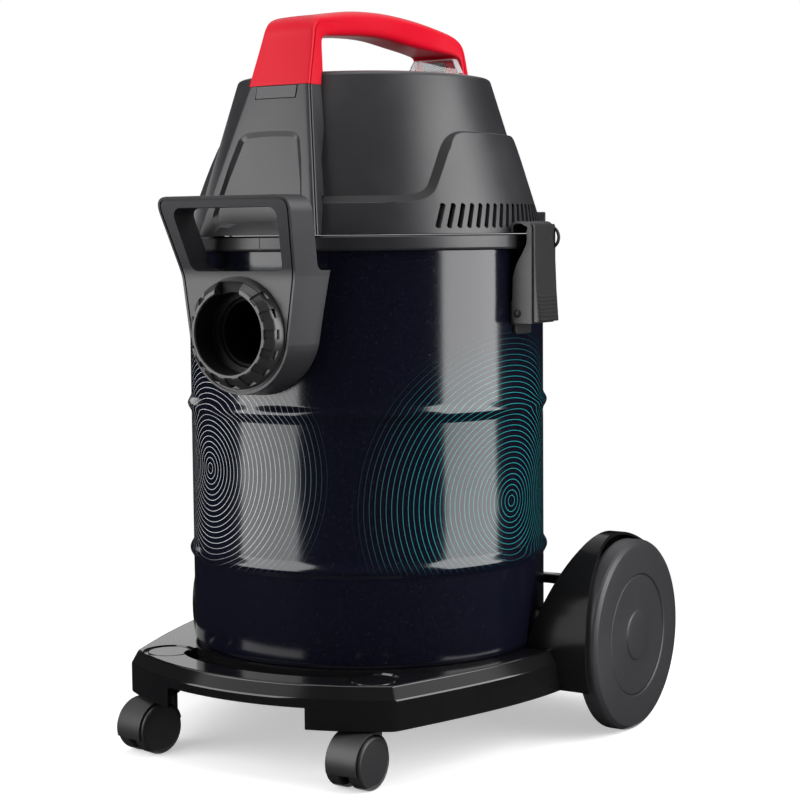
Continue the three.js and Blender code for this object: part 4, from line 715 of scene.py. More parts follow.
quarter = quarter_edge()
before = [(-quarter[1][0], quarter[1][1], 0)] + quarter[:-1]
after = quarter[1:] + [(math.pi - quarter[-2][0], quarter[-2][1], 0)]
partners = [band_partner(*three) for three in zip(before, quarter, after)]
half_edge = [(*q[:2], *p) for q, p in zip(quarter, partners)]
half_edge += [(math.pi - a, z, math.pi - b, w) for a, z, b, w in half_edge[-2::-1]]
whole_edge = half_edge + [(-a, z, -b, w) for a, z, b, w in half_edge[-2:0:-1]]


def outer_ring(inset, z):
    return [on_skin(b, housing_radius(z) - inset, z) for a, top, b, w in whole_edge]


def inner_ring(gap, z):
    return [on_skin(a, cover_radius(449.1) + gap, z) for a, top, b, w in whole_edge]


housing = loft([
    outer_ring(2.6, 420.9), outer_ring(0.4, 420.9), outer_ring(0, 421.4),
    [on_skin(b, housing_radius(w - 0.7), w - 0.7) for a, z, b, w in whole_edge],
    [on_skin(b, housing_radius(w) - 0.25, w - 0.1) for a, z, b, w in whole_edge],
    [on_skin(b + (a - b) * 0.12, housing_radius(w) - 0.85, w + (z - w) * 0.12) for a, z, b, w in whole_edge],
    [on_skin(a, cover_radius(z) + 0.35, z) for a, z, b, w in whole_edge],
    inner_ring(0.35, 449.1), inner_ring(-3.6, 449.1), inner_ring(-3.6, 447.1), outer_ring(2.6, 446.1),
], ring=True)
print("vent housing:", len(whole_edge), "points round its edge")

# %% [markdown]
# The cooling slots lean a little and have round ends. The same slab, placed nineteen times,
# cuts both sides at once, and each side gets the small lug that stops the latch.

# %% Cooling slots and latch stops
LEAD_Z = 446        # the mains lead leaves the back at this height


def vent_slot(top_y, lean=8, half=2.1):
    top = arc((top_y, 445.1 - half), half, 0, 180, 8)
    foot = arc((top_y - lean, 425.3 + half), half, 180, 360, 8)
    return slab(top + foot, -200, 200, "X")


slots = [vent_slot(8.2 * (i - 9) - 2) for i in range(19)]
lead_notch = [rod(4.2, 132, 150, 32, "Y", z=LEAD_Z), block(-4.2, 4.2, 132, 150, LEAD_Z, 452)]
housing = carve(housing, *slots, *lead_notch, clean=False)
stops = [swung(soften(block(140, 153, -5, 5, 426.8, 439), 1.2, segments=3), 35) for _ in range(2)]
housing = together(housing, stops[0], flipped(stops[1]))
housing = piece(
    "vent_housing", housing, satin_black, "satin_black", "head", "vent_housing", sharp=28, flat=True)


def on_band(place, normal):
    radius = math.hypot(place.x, place.y)
    between_skins = cover_radius(place.z) + 0.3 < radius < housing_radius(place.z) - 0.2
    return between_skins and 445 < place.z < 499 and normal.z > 0.1


# The sloped band of the S takes the darker copy of the satin black, a painted shade.
refinish(housing, painted_shade_black, on_band)

# %% [markdown]
# The column in front of the cone is lofted between three sections, because it widens and
# leans as it goes down. Each section has a gently bowed face, a fine groove and a rounded
# corner on both sides. Bridging two loops keeps those lines straight from top to bottom. The
# recess in its face is a hull between two outlines set off from one another.

# %% Front column
def set_off(points, distance):
    """The outline moved outwards by a distance, corner by corner."""
    area = sum(a[0] * b[1] - b[0] * a[1] for a, b in zip(points, points[1:] + points[:1]))
    way = 1 if area > 0 else -1
    made = []
    for i, point in enumerate(points):
        back = (Vector(point) - Vector(points[i - 1])).normalized()
        ahead = (Vector(points[(i + 1) % len(points)]) - Vector(point)).normalized()
        normal = Vector((back.y + ahead.y, -back.x - ahead.x)).normalized() * way
        stretch = 1 / max(0.3, math.sqrt(max(0.0, (1 + back.dot(ahead)) / 2)))
        made.append(tuple(Vector(point) + normal * distance * stretch))
    return made


COLUMN_FOOT, COLUMN_TOP = 420.9, 539


def column_y(z):
    """The front face leans out as it goes down."""
    return -124.82 - 0.30635 * (COLUMN_TOP - z)


def column_half(z):
    """Half the column's width."""
    return 28.8 + 0.243 * (COLUMN_TOP - z)


def face_y(x, z):
    """The column's bowed front face."""
    return column_y(z) + 0.045 * x * x / column_half(z)


def column_section(z):
    half = column_half(z)
    right = [((half - 3.7) * k / 8, face_y((half - 3.7) * k / 8, z)) for k in range(9)]
    edge = face_y(half, z)
    right += [(half + out, edge + back) for out, back in (
        (-2.4, -0.05), (-1.2, 0.25), (-0.35, 0.9), (0, 1.8), (0, 2.2), (-1.5, 2.4), (-1.5, 3.6), (0.2, 3.8),
        (0.45, 4.3), (0.45, 5.2))]
    down = (COLUMN_TOP - z) / (COLUMN_TOP - COLUMN_FOOT)
    back = (half + 0.5 - 16.2 * down, -88 - 34 * down)
    outline = right + [back, (-back[0], back[1])] + [(-x, y) for x, y in reversed(right[1:])]
    return [(x, y, z) for x, y in outline]


def recess_ring(depth, inset):
    corners = [(-28, 501, 8), (28, 501, 8), (42.5, 430, 6), (-42.5, 430, 6)]
    outline = set_off(rounded(corners, steps=8, closed=True), -inset)
    return [(x, face_y(x, z) + depth, z) for x, z in outline]


column = loft([column_section(z) for z in (COLUMN_FOOT, 480, COLUMN_TOP)])
recess_tool = hull(recess_ring(-3.0, -5.7) + recess_ring(6, 11.4), mirrored=False)
floor_xs = [3.5 * k for k in range(-16, 17)]
recess_front = loft([[(x, face_y(x, z) + 2.6, z) for x in floor_xs] + [(56, -230, z), (-56, -230, z)]
                     for z in (425, 466, 507)])
recess_tool = carve(recess_tool, recess_front, how="INTERSECT")
recess_tool = carve(recess_tool, rod(58, -170, -120, 120, "Y", z=374.5))
head_envelope = turned([
    (0, 400.6), (housing_radius(400.6) + 0.3, 400.6), (housing_radius(451.2) + 0.3, 451.5),
    (cover_radius(451.2) + 0.3, 451.5), (107.02, 549), (103.62, 549.9), (0, 552.4),
], 160)
column_inside = hull([(24, -119.6, 536), (24, -80, 536), (50, -153, 413), (36, -112, 413)])
clip_pocket = hull([
    (20, -140, 528.4), (20, -140, 545), (20, column_y(529) + 3.4, 528.4), (20, column_y(545) + 3.4, 545)])
column = carve(column, head_envelope.copy(), column_inside, recess_tool, clip_pocket)
piece("front_column", column, satin_black, "satin_black", "head", "front_column", sharp=30, flat=True)

clip = hull([(19.2, column_y(529) + 0.2, 529), (19.2, column_y(529) + 2.8, 529),
             (19.2, column_y(538.7) + 0.2, 538.7), (19.2, column_y(529) + 2.8, 538.7)])
soften(clip, 0.7, segments=3)
piece("column_clip", clip, satin_black, "satin_black", "head", "column_clip", flat=True)

# %% [markdown]
# The rear column is a plainer match for the front one: a convex skin round eight corners. It
# carries the handle's rear foot and the rubber bush through which the mains lead leaves.

# %% Rear column and cable bush
rear = hull([(30, 141.82, 549.6), (30, 88, 549.6), (42, 158, 420.9), (42, 122, 420.9)])
soften(rear, 4.0, segments=4, where=lambda m: m.y > 130 and abs(m.x) > 20)
soften(rear, 1.2, angle=50, segments=3, where=lambda m: m.z > 545)
rear_inside = hull([(27, 138.8, 546.6), (27, 80, 546.6), (39, 155, 413), (39, 112, 413)])
gland_hole = rod(6.3, 130, 190, 48, "Y", z=LEAD_Z)
rear = carve(rear, head_envelope.copy(), rear_inside, gland_hole)
piece("rear_column", rear, satin_black, "satin_black", "head", "rear_column", sharp=30, flat=True)
wall_y = 141.82 + 16.18 * (549.6 - LEAD_Z + 10) / 128.7 + 0.3
bush = turned(rounded([
    (3.6, wall_y - 8), (6, wall_y - 8), (6, wall_y), (9.5, wall_y, 0.5), (9.2, wall_y + 2.2, 1.2),
    (6.4, wall_y + 2.9, 0.6), (6, wall_y + 5.5, 0.8), (3.6, wall_y + 6),
]), 48, "Y")
piece("cord_gland", moved(bush, z=LEAD_Z), rubber_black, "rubber", "head", "cord_gland")

# %% [markdown]
# The carrying handle is one smooth loft. A cross-section is set at each station between the
# outer line and the underside, with its own half width and corner radius: crisp at the front
# foot, round and full in the grip. Points between the stations follow a smooth curve.

# %% Carrying handle
# outer y, outer z, inner y, inner z, half width, outer corner, inner corner, bow of the face, groove
HANDLE_STATIONS = [
    (-124.9, 539.3, -101.5, 539.3, 29.2, 1.6, 2.0, 1.6, 0.9),
    (-117.2, 561.5, -98.8, 560.5, 26.7, 1.8, 2.4, 1.5, 0.9),
    (-111.9, 577.5, -96.6, 570.0, 25.0, 2.2, 3.0, 1.4, 0.9),
    (-109.2, 585.8, -94.6, 575.0, 24.1, 2.8, 3.6, 1.3, 0.8),
    (-105.0, 591.8, -90.5, 578.0, 23.4, 3.6, 4.2, 1.2, 0.6),
    (-98.0, 595.0, -84.5, 579.6, 22.4, 4.6, 5.0, 1.1, 0.4),
    (-82.0, 597.8, -72.0, 580.6, 20.6, 6.0, 6.0, 1.0, 0.2),
    (-60.0, 601.4, -55.0, 582.0, 18.8, 7.2, 6.8, 1.0, 0),
    (-30.0, 605.0, -28.0, 584.2, 17.6, 8.2, 7.4, 1.0, 0),
    (0.0, 606.7, 0.0, 585.2, 17.5, 8.6, 7.6, 1.0, 0),
    (27.0, 606.75, 24.0, 584.4, 17.5, 8.6, 7.6, 1.0, 0),
    (60.0, 605.0, 55.0, 581.8, 18.0, 8.2, 7.2, 1.0, 0),
    (88.0, 601.6, 83.0, 580.0, 19.6, 7.2, 6.0, 1.2, 0),
    (106.0, 598.4, 99.0, 579.2, 21.8, 6.8, 4.6, 1.4, 0),
    (118.0, 595.2, 110.0, 578.6, 23.4, 6.8, 3.0, 1.8, 0.2),
    (126.8, 589.6, 117.2, 576.6, 24.6, 7.4, 2.0, 2.2, 0.4),
    (131.4, 579.0, 119.82, 570.0, 25.6, 8.0, 1.4, 2.4, 0.6),
    (135.2, 565.5, 119.82, 560.5, 26.4, 8.4, 1.4, 2.6, 0.7),
    (139.3, 549.9, 119.82, 549.9, 27.4, 9.0, 1.4, 2.8, 0.7),
]


def between(keys, t):
    """A value on the smooth curve through the keys, at station number t."""
    i = min(int(t), len(keys) - 2)
    f = t - i
    p0, p1, p2, p3 = (keys[max(0, min(len(keys) - 1, i + k))] for k in (-1, 0, 1, 2))
    return tuple(
        0.5 * (2 * b + (c - a) * f + (2 * a - 5 * b + 4 * c - d) * f * f + (3 * b - a - 3 * c + d) * f ** 3)
        for a, b, c, d in zip(p0, p1, p2, p3))


def handle_section(values):
    out_y, out_z, in_y, in_z, half, outer_r, inner_r, bow, groove = values
    top, low = Vector((0, out_y, out_z)), Vector((0, in_y, in_z))
    thick = (top - low).length
    up = (top - low).normalized()

    def crown(x):
        return thick - bow * (x / half) ** 2

    flat = half - outer_r
    low_edge = thick - bow - outer_r
    points = [(flat * k / 7, crown(flat * k / 7)) for k in range(7)]
    points += bend((flat, crown(flat)), (half, thick - bow), (half, low_edge), 7)
    points += [(half - groove * deep, low_edge - h) for h, deep in ((0.4, 0), (0.6, 1), (1.5, 1), (1.7, 0))]
    points += bend((half, inner_r), (half, 0), (half - inner_r, 0), 7)
    points += [(-x, h) for x, h in reversed(points[1:])]
    return [tuple(low + Vector((x, 0, 0)) + up * h) for x, h in points]


fine_stations = [between(HANDLE_STATIONS, k / 4) for k in range(4 * (len(HANDLE_STATIONS) - 1) + 1)]
handle = loft([handle_section(v) for v in fine_stations])
dish = bmesh.new()
bmesh.ops.create_uvsphere(dish, u_segments=48, v_segments=24, radius=1)
bmesh.ops.scale(dish, vec=(14.5, 34, 12), verts=dish.verts)
moved(swung(dish, 7, "X"), 0, -69, 603)
switch_hole = block(-12.3, 6.3, 109.8, 131, 557.8, 571.4)
handle = carve(handle, dish, switch_hole, head_envelope.copy(), clean=False)
piece("carry_handle", handle, handle_red, "red_plastic", "head", "carry_handle", sharp=38)

# %% [markdown]
# The switch sits in the handle's rear foot behind a clear splash cover. Its rocker is a
# shallow V in section, so it tips one way or the other inside its bezel.

# %% Switch
bezel = soften(block(-14.5, 8.5, 117.5, 119.5, 555.6, 573.6), 0.7, segments=3)
bezel = carve(bezel, block(-11.7, 5.7, 110, 118.8, 556.8, 572.4), block(-12, 6, 118.8, 119.4, 558.1, 571.1))
switch_body = carve(bezel, block(-12, 6, 119, 130.8, 558.1, 571.1), how="UNION")
piece("switch_body", switch_body, rocker_black, "satin_black", "head", "switch_body", flat=True)
rocker_back = 117.22
rocker = slab(rounded([
    (rocker_back, 557.1), (rocker_back - 3.4, 557.4, 0.5), (rocker_back - 1.9, 564.6, 6),
    (rocker_back - 3, 571.8, 0.5), (rocker_back - 1.6, 572.1, 0.4), (rocker_back, 564.6),
]), -11.5, 5.5, "X")
soften(rocker, 0.35, angle=50)
piece("rocker_switch", rocker, rocker_black, "satin_black", "rocker", "rocker_switch", flat=True)


def cover_shell(inset, out_y):
    return hull([
        (27 - inset, 109.9 + inset, 550.2 + inset), (27 - inset, 109.9 + inset, 563.6 - inset / 2),
        (20.8 - inset, 111.4 + inset, 575.9 - inset), (27 - inset, out_y, 550.2 + inset),
        (27 - inset, out_y, 563.6 - inset / 2), (20.8 - inset, out_y, 575.9 - inset),
    ])


cover = carve(soften(cover_shell(0, 119.5), 1.2, angle=20, segments=3), cover_shell(1.1, 122))
switch_cover = piece("switch_cover", cover, clear_cover, "clear_plastic", "head", "switch_cover", flat=True)
walls = [face.normal.copy() for face in sorted(switch_cover.data.polygons, key=lambda face: -face.area)[:12]]
# Every face but the large flat walls takes the painted highlight.
refinish(switch_cover, cover_edge_highlight, lambda place, normal: max(normal.dot(wall) for wall in walls) < 0.99)

# %% [markdown]
# The hose inlet starts as one thick slab cut to its front outline, and a second slab cut to
# its side outline keeps only what both share. The long edges are rounded before the window
# and the socket are cut, because a bevel works best while the faces are still large.

# %% Inlet housing
def inlet_front_y(z):
    return -180 - 20.5 * max(0.0, z - 391) / 60.5


inlet_front = rounded(
    [(67, 451.7, 11), (-67, 451.7, 11), (-54.8, 390, 30), (-47.22, 337.4)]
    + arc((0, SOCKET_Z), 48, 190.4, 349.6, 44) + [(47.22, 337.4), (54.8, 390, 30)], steps=8, closed=True)


def flared(bm):
    """Widens the far side of the slab a little, as the mould's draft does."""
    for vert in bm.verts:
        wide = 1 + 0.00164 * (vert.co.y + 181)
        vert.co.x *= wide
        vert.co.z = SOCKET_Z + (vert.co.z - SOCKET_Z) * wide if vert.co.z < SOCKET_Z else vert.co.z
    return bm


inlet_side = rounded([
    (-180, 290), (-110, 290), (-110, 394), (-154.8, 394, 9), (-176.6, 451.9), (-200.9, 451.9), (-180, 391, 36),
], steps=8, closed=True)
edge_groove = flared(carve(
    slab(set_off(inlet_front, -1.9), -230, -110), slab(set_off(inlet_front, -3.2), -240, -100),
    slab(set_off(inlet_side, -1.1), -80, 80, "X")))
inlet = flared(carve(slab(inlet_front, -230, -110), slab(inlet_side, -80, 80, "X"), how="INTERSECT"))
soften(inlet, 1.7, angle=50, segments=4, where=lambda m: m.y < inlet_front_y(m.z) + 0.6 or m.z > 449)
window = rounded([
    (50.4, 442.7, 9), (-50.4, 442.7, 9), (-43.6, 393.5, 8), (43.6, 393.5, 8)], steps=8, closed=True)
inlet = carve(inlet, slab(window, -230, -100), edge_groove)
soften(inlet, 1.1, angle=50, segments=3, where=lambda m: (
    m.y < inlet_front_y(m.z) + 1.2 and abs(m.x) < 51.5 and 392 < m.z < 443.4))
socket = [rod(radius, -230, end, 96, "Y", z=SOCKET_Z)
          for radius, end in ((35.1, -172), (31.8, -168), (28, -100))]
inlet = carve(inlet, rod(151.8, 250, 460, 192), *socket)
soften(inlet, 0.7, angle=60, where=lambda m: m.y < -179.6 and 34.9 < math.hypot(m.x, m.z - SOCKET_Z) < 35.4)
piece("inlet_housing", inlet, satin_black, "satin_black", "base", "inlet_housing", sharp=34, flat=True)

# %% [markdown]
# The collar that locks the hose is spun from a rounded profile. Its thirteen catch windows
# and the keyway at the top are cut with one block each, turned about the socket's axis.

# %% Bayonet collar
collar = turned(rounded([
    (31.8, -172.3), (31.8, -194.3, 1.4), (35.8, -194.3, 4.5), (41.4, -188.4, 7), (44, -180.3, 0.5),
    (34.8, -180.3), (34.8, -172.3),
], steps=6), 160, "Y")
pockets = [swung(soften(block(-3.8, 3.8, -197, -184.4, 33.9, 50), 0.6), 22.5 * i, "Y") for i in range(2, 15)]
slits = [swung(block(-3.8, 3.8, -185.2, -184.3, 38.2, 50), 22.5 * i, "Y") for i in range(2, 15)]
core = turned(rounded([
    (20, -160), (20, -192.8), (34.8, -192.8, 4), (39.8, -187.5, 6.4), (42.3, -180.3), (42.3, -160),
], steps=6), 160, "Y")
cuts = [block(-12, 12, -197, -185.3, 25.8, 39.8), carve(together(*pockets), core), together(*slits)]
collar = carve(collar, *cuts)
soften(collar, 0.35, angle=45, where=lambda m: math.hypot(m.x, m.z) > 32.5 and m.y < -184)
moved(collar, z=SOCKET_Z)
collar = piece("inlet_collar", collar, latch_black, "satin_black", "base", "inlet_collar", sharp=34, flat=True)
# The bore behind the lip takes the darker black, a painted shade.
refinish(collar, bore_shade_black, lambda place, normal: (
    math.hypot(place.x, place.z - SOCKET_Z) < 32.4 and place.y > -193))

# %% [markdown]
# Behind the socket a short pipe turns the dirt down into the drum. It is swept along a
# smooth path: rings of points are laid across the path and bridged into a tube.

# %% Inlet elbow and saddle gasket
def tube(path, outer, inner, sides=56):
    """A pipe along a path of points in the plane X = 0."""
    rows = []
    for i, point in enumerate(path):
        ahead = (Vector(path[min(i + 1, len(path) - 1)]) - Vector(path[max(i - 1, 0)])).normalized()
        rows.append((Vector(point), Vector((0, -ahead.z, ahead.y))))
    turns = [2 * math.pi * k / sides for k in range(sides)]
    order = [(row, outer) for row in rows] + [(row, inner) for row in reversed(rows)]
    return loft([[middle + Vector((1, 0, 0)) * radius * math.cos(t) + up * radius * math.sin(t) for t in turns]
                 for (middle, up), radius in order], ring=True)


elbow_path = [(0, -165.7, SOCKET_Z), (0, -157, SOCKET_Z)]
elbow_path += [(0, *yz) for yz in curve((-150, SOCKET_Z), (-138, SOCKET_Z), (-121, 339), (-110.5, 318.5), 14)]
# The elbow, deep inside the socket, is all in the darker black, a painted shade.
piece("inlet_elbow", tube(elbow_path, 27.1, 25.1), bore_shade_black, "satin_black", "base", "inlet_elbow")
saddle = carve(turned([(150.3, 266), (151.5, 266), (151.5, 426), (150.3, 426)], 192),
               moved(turned([(30.2, -170), (40, -170), (40, -120), (30.2, -120)], 96, "Y"), z=SOCKET_Z),
               how="INTERSECT")
piece("inlet_gasket", saddle, rubber_black, "rubber", "base", "inlet_gasket")

# %% [markdown]
# Each latch is folded from sheet. Its outline is drawn once from the side, for the cheeks
# and for the web between them, with the cane-shaped hook that reaches over the rim.

# %% Latch parts
KNUCKLE = (163.8, 424.5)     # where the lever turns on the arm, as (x, z)
BRACKET_PIN = (157, 357)     # where the arm turns on the bracket


def pin_rod(centre, radius=2.5, low=-30, high=30):
    return rod(radius, low, high, 32, "Y", x=centre[0], z=centre[1])


def hook_line():
    return ([(169.8, 349), (169.8, 424.5)] + arc(KNUCKLE, 6, 0, 90, 10)[1:]
            + curve((158.5, 430.5), (153.5, 430.5), (151.4, 429.5), (151.3, 426.5), 8)
            + [(151.3, 420.9, 0.3), (153, 420.9, 0.3), (153.1, 425.5)]
            + curve((153.1, 425.5), (153.3, 428.3), (155, 428.8), (158.5, 428.8), 8))


def latch_arm():
    edge = curve((158.5, 428.8), (165.4, 428.8), (166.6, 422), (165.4, 413), 8)
    edge += curve((165.4, 413), (162, 403), (155.4, 399), (153, 386), 10)
    cheek = rounded([(153.4, 349, 2.5)] + hook_line() + edge + [(152, 362), (152, 354)], steps=5, closed=True)
    web = [(167.8, 349)] + hook_line() + curve((158.5, 428.8), (165.9, 428.8), (167.8, 427), (167.8, 422), 8)
    sides = [slab(cheek, y, y + 2) for y in (-18.8, 16.8)]
    arm = carve(slab(rounded(web), -18.3, 18.3), *sides, how="UNION")
    arm = carve(arm, pin_rod(BRACKET_PIN), pin_rod(KNUCKLE))
    return soften(arm, 0.35, angle=50, where=lambda m: m.z > 350)


def latch_lever():
    face = [(170.1, 350, 0.4), (174.7, 350, 1.2), (172.9, 375, 20), (171.9, 400), (171.9, 424.5)]
    face += arc(KNUCKLE, 8.1, 0, 28.6, 5)[1:] + arc(KNUCKLE, 6.3, 28.6, 0, 5)
    lever = soften(slab(rounded(face, steps=6, closed=True), -16.6, 18.4), 0.4, angle=50, segments=3)
    ribs = []
    for i in range(7):
        low = 350.9 + 3.1 * i
        out = 175.5 - 0.092 * (low - 350)
        grip = [(out - 2.4, low), (out, low + 0.2, 0.4), (out - 0.1, low + 1.7, 0.5), (out - 2.4, low + 1.9)]
        ribs.append(slab(rounded(grip), -13.6, 16.6))
    ear = rounded([(8.3, 16.2), (10.1, 16.2, 0.4), (10.1, 18.5, 0.4), (8.3, 18.5)], closed=True)
    ear = moved(turned(ear, 64, "Y"), x=166.2, z=417.5)
    stub = pin_rod(KNUCKLE, 2.2, 12, 18.2)
    return together(lever, *ribs, ear, stub)


def latch_pin():
    half = [(0, 20.3), (1.5, 20.2), (2.8, 19.8), (3.5, 19.1), (2.2, 19.1)]
    pin = turned([(r, -y) for r, y in half] + [(r, y) for r, y in reversed(half)], 40, "Y")
    return moved(pin, x=BRACKET_PIN[0], z=BRACKET_PIN[1])


def latch_bracket():
    drum_wall = rod(150.3, 300, 420, 192)
    plate = soften(block(140, 152.4, -13, 13, 340, 386), 2.5, segments=4, where=lambda m: abs(m.y) > 12 and (
        abs(m.z - 340) < 0.1 or abs(m.z - 386) < 0.1))
    ear = rounded([(144, 345), (157, 351.2)] + arc(BRACKET_PIN, 5.5, -85, 85, 12) + [(157, 362.8), (144, 369)])
    bridge = block(144, 152.4, -16, 16, 348, 366)
    plate = carve(plate, slab(ear, 14.3, 16.3), slab(ear, -16.3, -14.3), bridge, how="UNION")
    return soften(carve(plate, drum_wall, pin_rod(BRACKET_PIN)), 0.4, angle=60, where=lambda m: m.x > 152)


print("latch parts: bracket, pin, arm, lever")

# %% [markdown]
# The parts above are drawn for the right side, and the left latch is their reflection. Bracket
# and pin stay on the drum, and the arm and the lever each hang on a body of their own.


# %% Both latches
for side in ("left", "right"):
    for name, build, finish, slot, body in (
            ("latch_bracket", latch_bracket, black_steel, "black_steel", "base"),
            ("latch_pin", latch_pin, black_steel, "steel", "base"),
            ("latch_arm", latch_arm, latch_black, "satin_black", f"arm_{side}"),
            ("latch_lever", latch_lever, latch_black, "satin_black", f"lever_{side}")):
        shape = build() if side == "right" else flipped(build())
        piece(f"{name}_{side}", shape, finish, slot, body, f"{name}_{side}", sharp=34, flat=True)

# %% [markdown]
# The dolly is a low tray with a chamfered rim. Rings of the same outline, each set in or out
# a little and a little higher, are lofted into the body, so the chamfer's two edges can be
# slightly rounded and catch the light in a thin line.

# %% Dolly outline
def deck_half():
    """The right half of the deck's edge, from the middle of the front to the back."""
    end = math.degrees(math.asin(124 / 228.9))
    front = arc((0, 31.9), 228.9, -90, -90 + end, 26)
    corner = curve(front[-1], (125.4, -159.7), (126.1, -157.6), (129.2, -149), 8)
    side = curve((129.2, -149), (151.5, -88), (170.8, -30), (171.4, 28.3), 26)
    back = rounded([(171.4, 28.3), (171.5, 48), (150, 70, 12), (150, 170, 10)], steps=6)
    return front + corner + side + back[1:]


deck_edge = with_twin(deck_half() + [(0, 170)])


def ring(inset, z):
    return [(x, y, z) for x, y in set_off(deck_edge, -inset)]


def crescent(inset):
    """The catch tray's outline, broad at the front and drawn out thin along the drum."""
    inner, outer = 153 + inset, 178 - inset
    blunt, spread = 17.2, math.degrees(0.62 - inset / 150)
    half = arc((0, 0), outer, -90, -90 + blunt, 10)
    start, stop = half[-1], arc((0, 0), inner, -90 + spread, -90, 18)[0]
    half += curve(start, (start[0] + 22, start[1] + 6.5), (outer * 0.56, -outer * 0.84), stop, 10)
    half += arc((0, 0), inner, -90 + spread, -90, 18)[1:]
    return with_twin(half)


print("deck's edge:", len(deck_edge), "points")

# %% [markdown]
# The rest of the dolly is joined to that tray and cut from it in a fixed order: the wheel
# housings and their hollows, the crescent catch tray, two round recesses over the casters,
# the rail at the back and the bores for the axles and stems.

# %% Dolly
WHEEL_Y, WHEEL_Z = 95, 80.7          # the rear wheels' axis
CASTER_X, CASTER_Y = 101, -152      # the casters' stems


def across(radius, low, high, steps=48):
    """A plug along the rear wheels' axis."""
    return rod(radius, low, high, steps, "X", y=WHEEL_Y, z=WHEEL_Z)


def upright(radius, low, high):
    """A plug on each caster's stem."""
    return [rod(radius, low, high, x=x, y=CASTER_Y) for x in (-CASTER_X, CASTER_X)]


WELL_INSIDE = [(150, 25), (150, 85), (160, 114), (175, 157), (178.5, 170)]


def well(wall):
    inner = [(x + wall, z) for x, z in WELL_INSIDE]
    if wall:
        outer = [(240, 170), (240, 25)]
    else:
        outer = [(187, 170), (190.5, 163), (196, 150), (200.5, 125), (203, 95), (203, 25)]
    line = [(*p, 14) if 0 < i < 4 else p for i, p in enumerate(inner)] + outer
    return slab(rounded(line, closed=True), 0, 200)


def both(shape):
    return [shape, flipped(shape.copy())]


tray = loft([ring(inset, z) for inset, z in (
    (-5.0, 45), (-5.7, 45.2), (-6.0, 45.9), (-6.0, 68.2), (-5.85, 69.0), (-5.5, 69.7), (-0.8, 78.2),
    (-0.2, 79.0), (0.6, 79.4), (1.5, 79.5))])
hollow = loft([ring(-3, 30), ring(-3, 68), ring(1.5, 76.5)])
arch = carve(across(86, 100, 260, 176), well(0), how="INTERSECT")
soften(arch, 1.4, angle=40, segments=3, where=lambda m: m.x > 179 and m.z > 30)
soften(arch, 2.5, angle=50, segments=3, where=lambda m: m.x < 179)
arch = carve(arch, block(0, 300, -100, 300, -100, 45))
arch_space = carve(across(83.6, 100, 260, 176), well(3), how="INTERSECT")
rail = rounded([(160, 103, 3), (171, 103, 3), (171, 112, 3), (160, 112, 3)], steps=6, closed=True)
rail = slab(rail, -165, 165, "X")
ribs = [block(-1.4, 1.4, -140, 160, 58, 78.5)]
ribs += [block(-135, 135, y - 1.4, y + 1.4, 58, 78.5) for y in (-95, 0, 60)]
plug = turned([(133, 77.5), (141, 77.5), (141, 87.3), (133, 87.3)], 144)
dolly = carve(tray, hollow, block(-67, 67, -300, -120, -10, 62), block(-140, 140, 110, 300, -10, 62))
dolly = carve(dolly, slab(crescent(0), 66.5, 79, "Z"), plug, rail, *ribs, how="UNION")
dolly = carve(dolly, *both(arch), how="UNION")
dolly = carve(dolly, *both(arch_space))
dolly = carve(dolly, *both(across(12, 134, 167.5)), how="UNION")
dolly = carve(dolly, *upright(10, 45.4, 78.5), how="UNION")
scoop = soften(slab(crescent(2.5), 69, 90, "Z"), 1.6, angle=60, segments=3, where=lambda m: m.z < 70)
dish_line = rounded([
    (0, 78.9), (16.8, 78.9, 0.4), (17.6, 77.9, 0.4), (20.6, 77.9, 0.6), (21.4, 79.2, 0.3), (22, 80.5),
    (0, 80.5)])
dishes = [moved(turned(dish_line, 64), x=x, y=-149) for x in (-CASTER_X, CASTER_X)]
dolly = carve(dolly, scoop, *dishes, *upright(5.8, 40, 71.5), *both(across(6.5, 129, 172.5)))
dolly = piece("dolly_base", dolly, gloss_black, "gloss_black", "base", "dolly_base", sharp=30, flat=True)
# The chamfer band and the faces over the rear wheels take the gloss black with its reflection turned down, a
# painted shade.
refinish(dolly, shaded_chamfer_black, lambda place, normal: (70 < place.z < 78 and 0.4 < normal.z < 0.6) or (
    abs(place.x) > 149 and place.y > 0 and place.z > 82))

# %% [markdown]
# The rear wheels, their caps and axles are turned bodies. The wheel's face carries a shallow
# step where the cap is seated, and the cap a low hub with one fine edge.

# %% Rear wheels
def rear_wheel():
    return turned(rounded([
        (6.3, 167.8), (13, 167.8, 0.6), (13, 197.5), (70.7, 197.5), (74.7, 192.5, 1.5), (80.4, 192.7, 1.6),
        (80.7, 196, 4), (80.7, 205.6, 1), (79.9, 207.4, 2.2), (77.4, 209.8, 1.6), (74, 210), (52.6, 210, 0.6),
        (51.3, 209.2), (51.3, 207.5), (15, 207.5), (15, 203), (6.3, 203),
    ], steps=5), 192, "X")


def wheel_cap():
    return turned(rounded([
        (0, 207.8), (51, 207.8), (51, 208.9, 0.5), (49.6, 209.3, 0.6), (36, 209.0), (21.6, 209.2, 0.5),
        (20.6, 210.3, 0.8), (15, 210.7, 8), (0, 210.9),
    ], steps=5), 160, "X")


def rear_axle():
    line = [(0, 134), (6, 134, 0.8), (6, 203.3), (12, 203.3, 0.4), (12, 205.2, 0.8), (0, 205.2)]
    return turned(rounded(line), 64, "X")


print("rear wheel parts: wheel, cap, axle")

# %% [markdown]
# A twin-wheel caster is drawn with its stem on the origin. The hood is a bent band with a
# web between the wheels; the finished pieces are turned about the stem and moved under the
# dolly's corner, each at its own angle, as they would stand after being pushed about.

# %% Casters
CASTER_AXIS = {"y": -20, "z": 20.75}      # the wheels' axis trails behind the stem


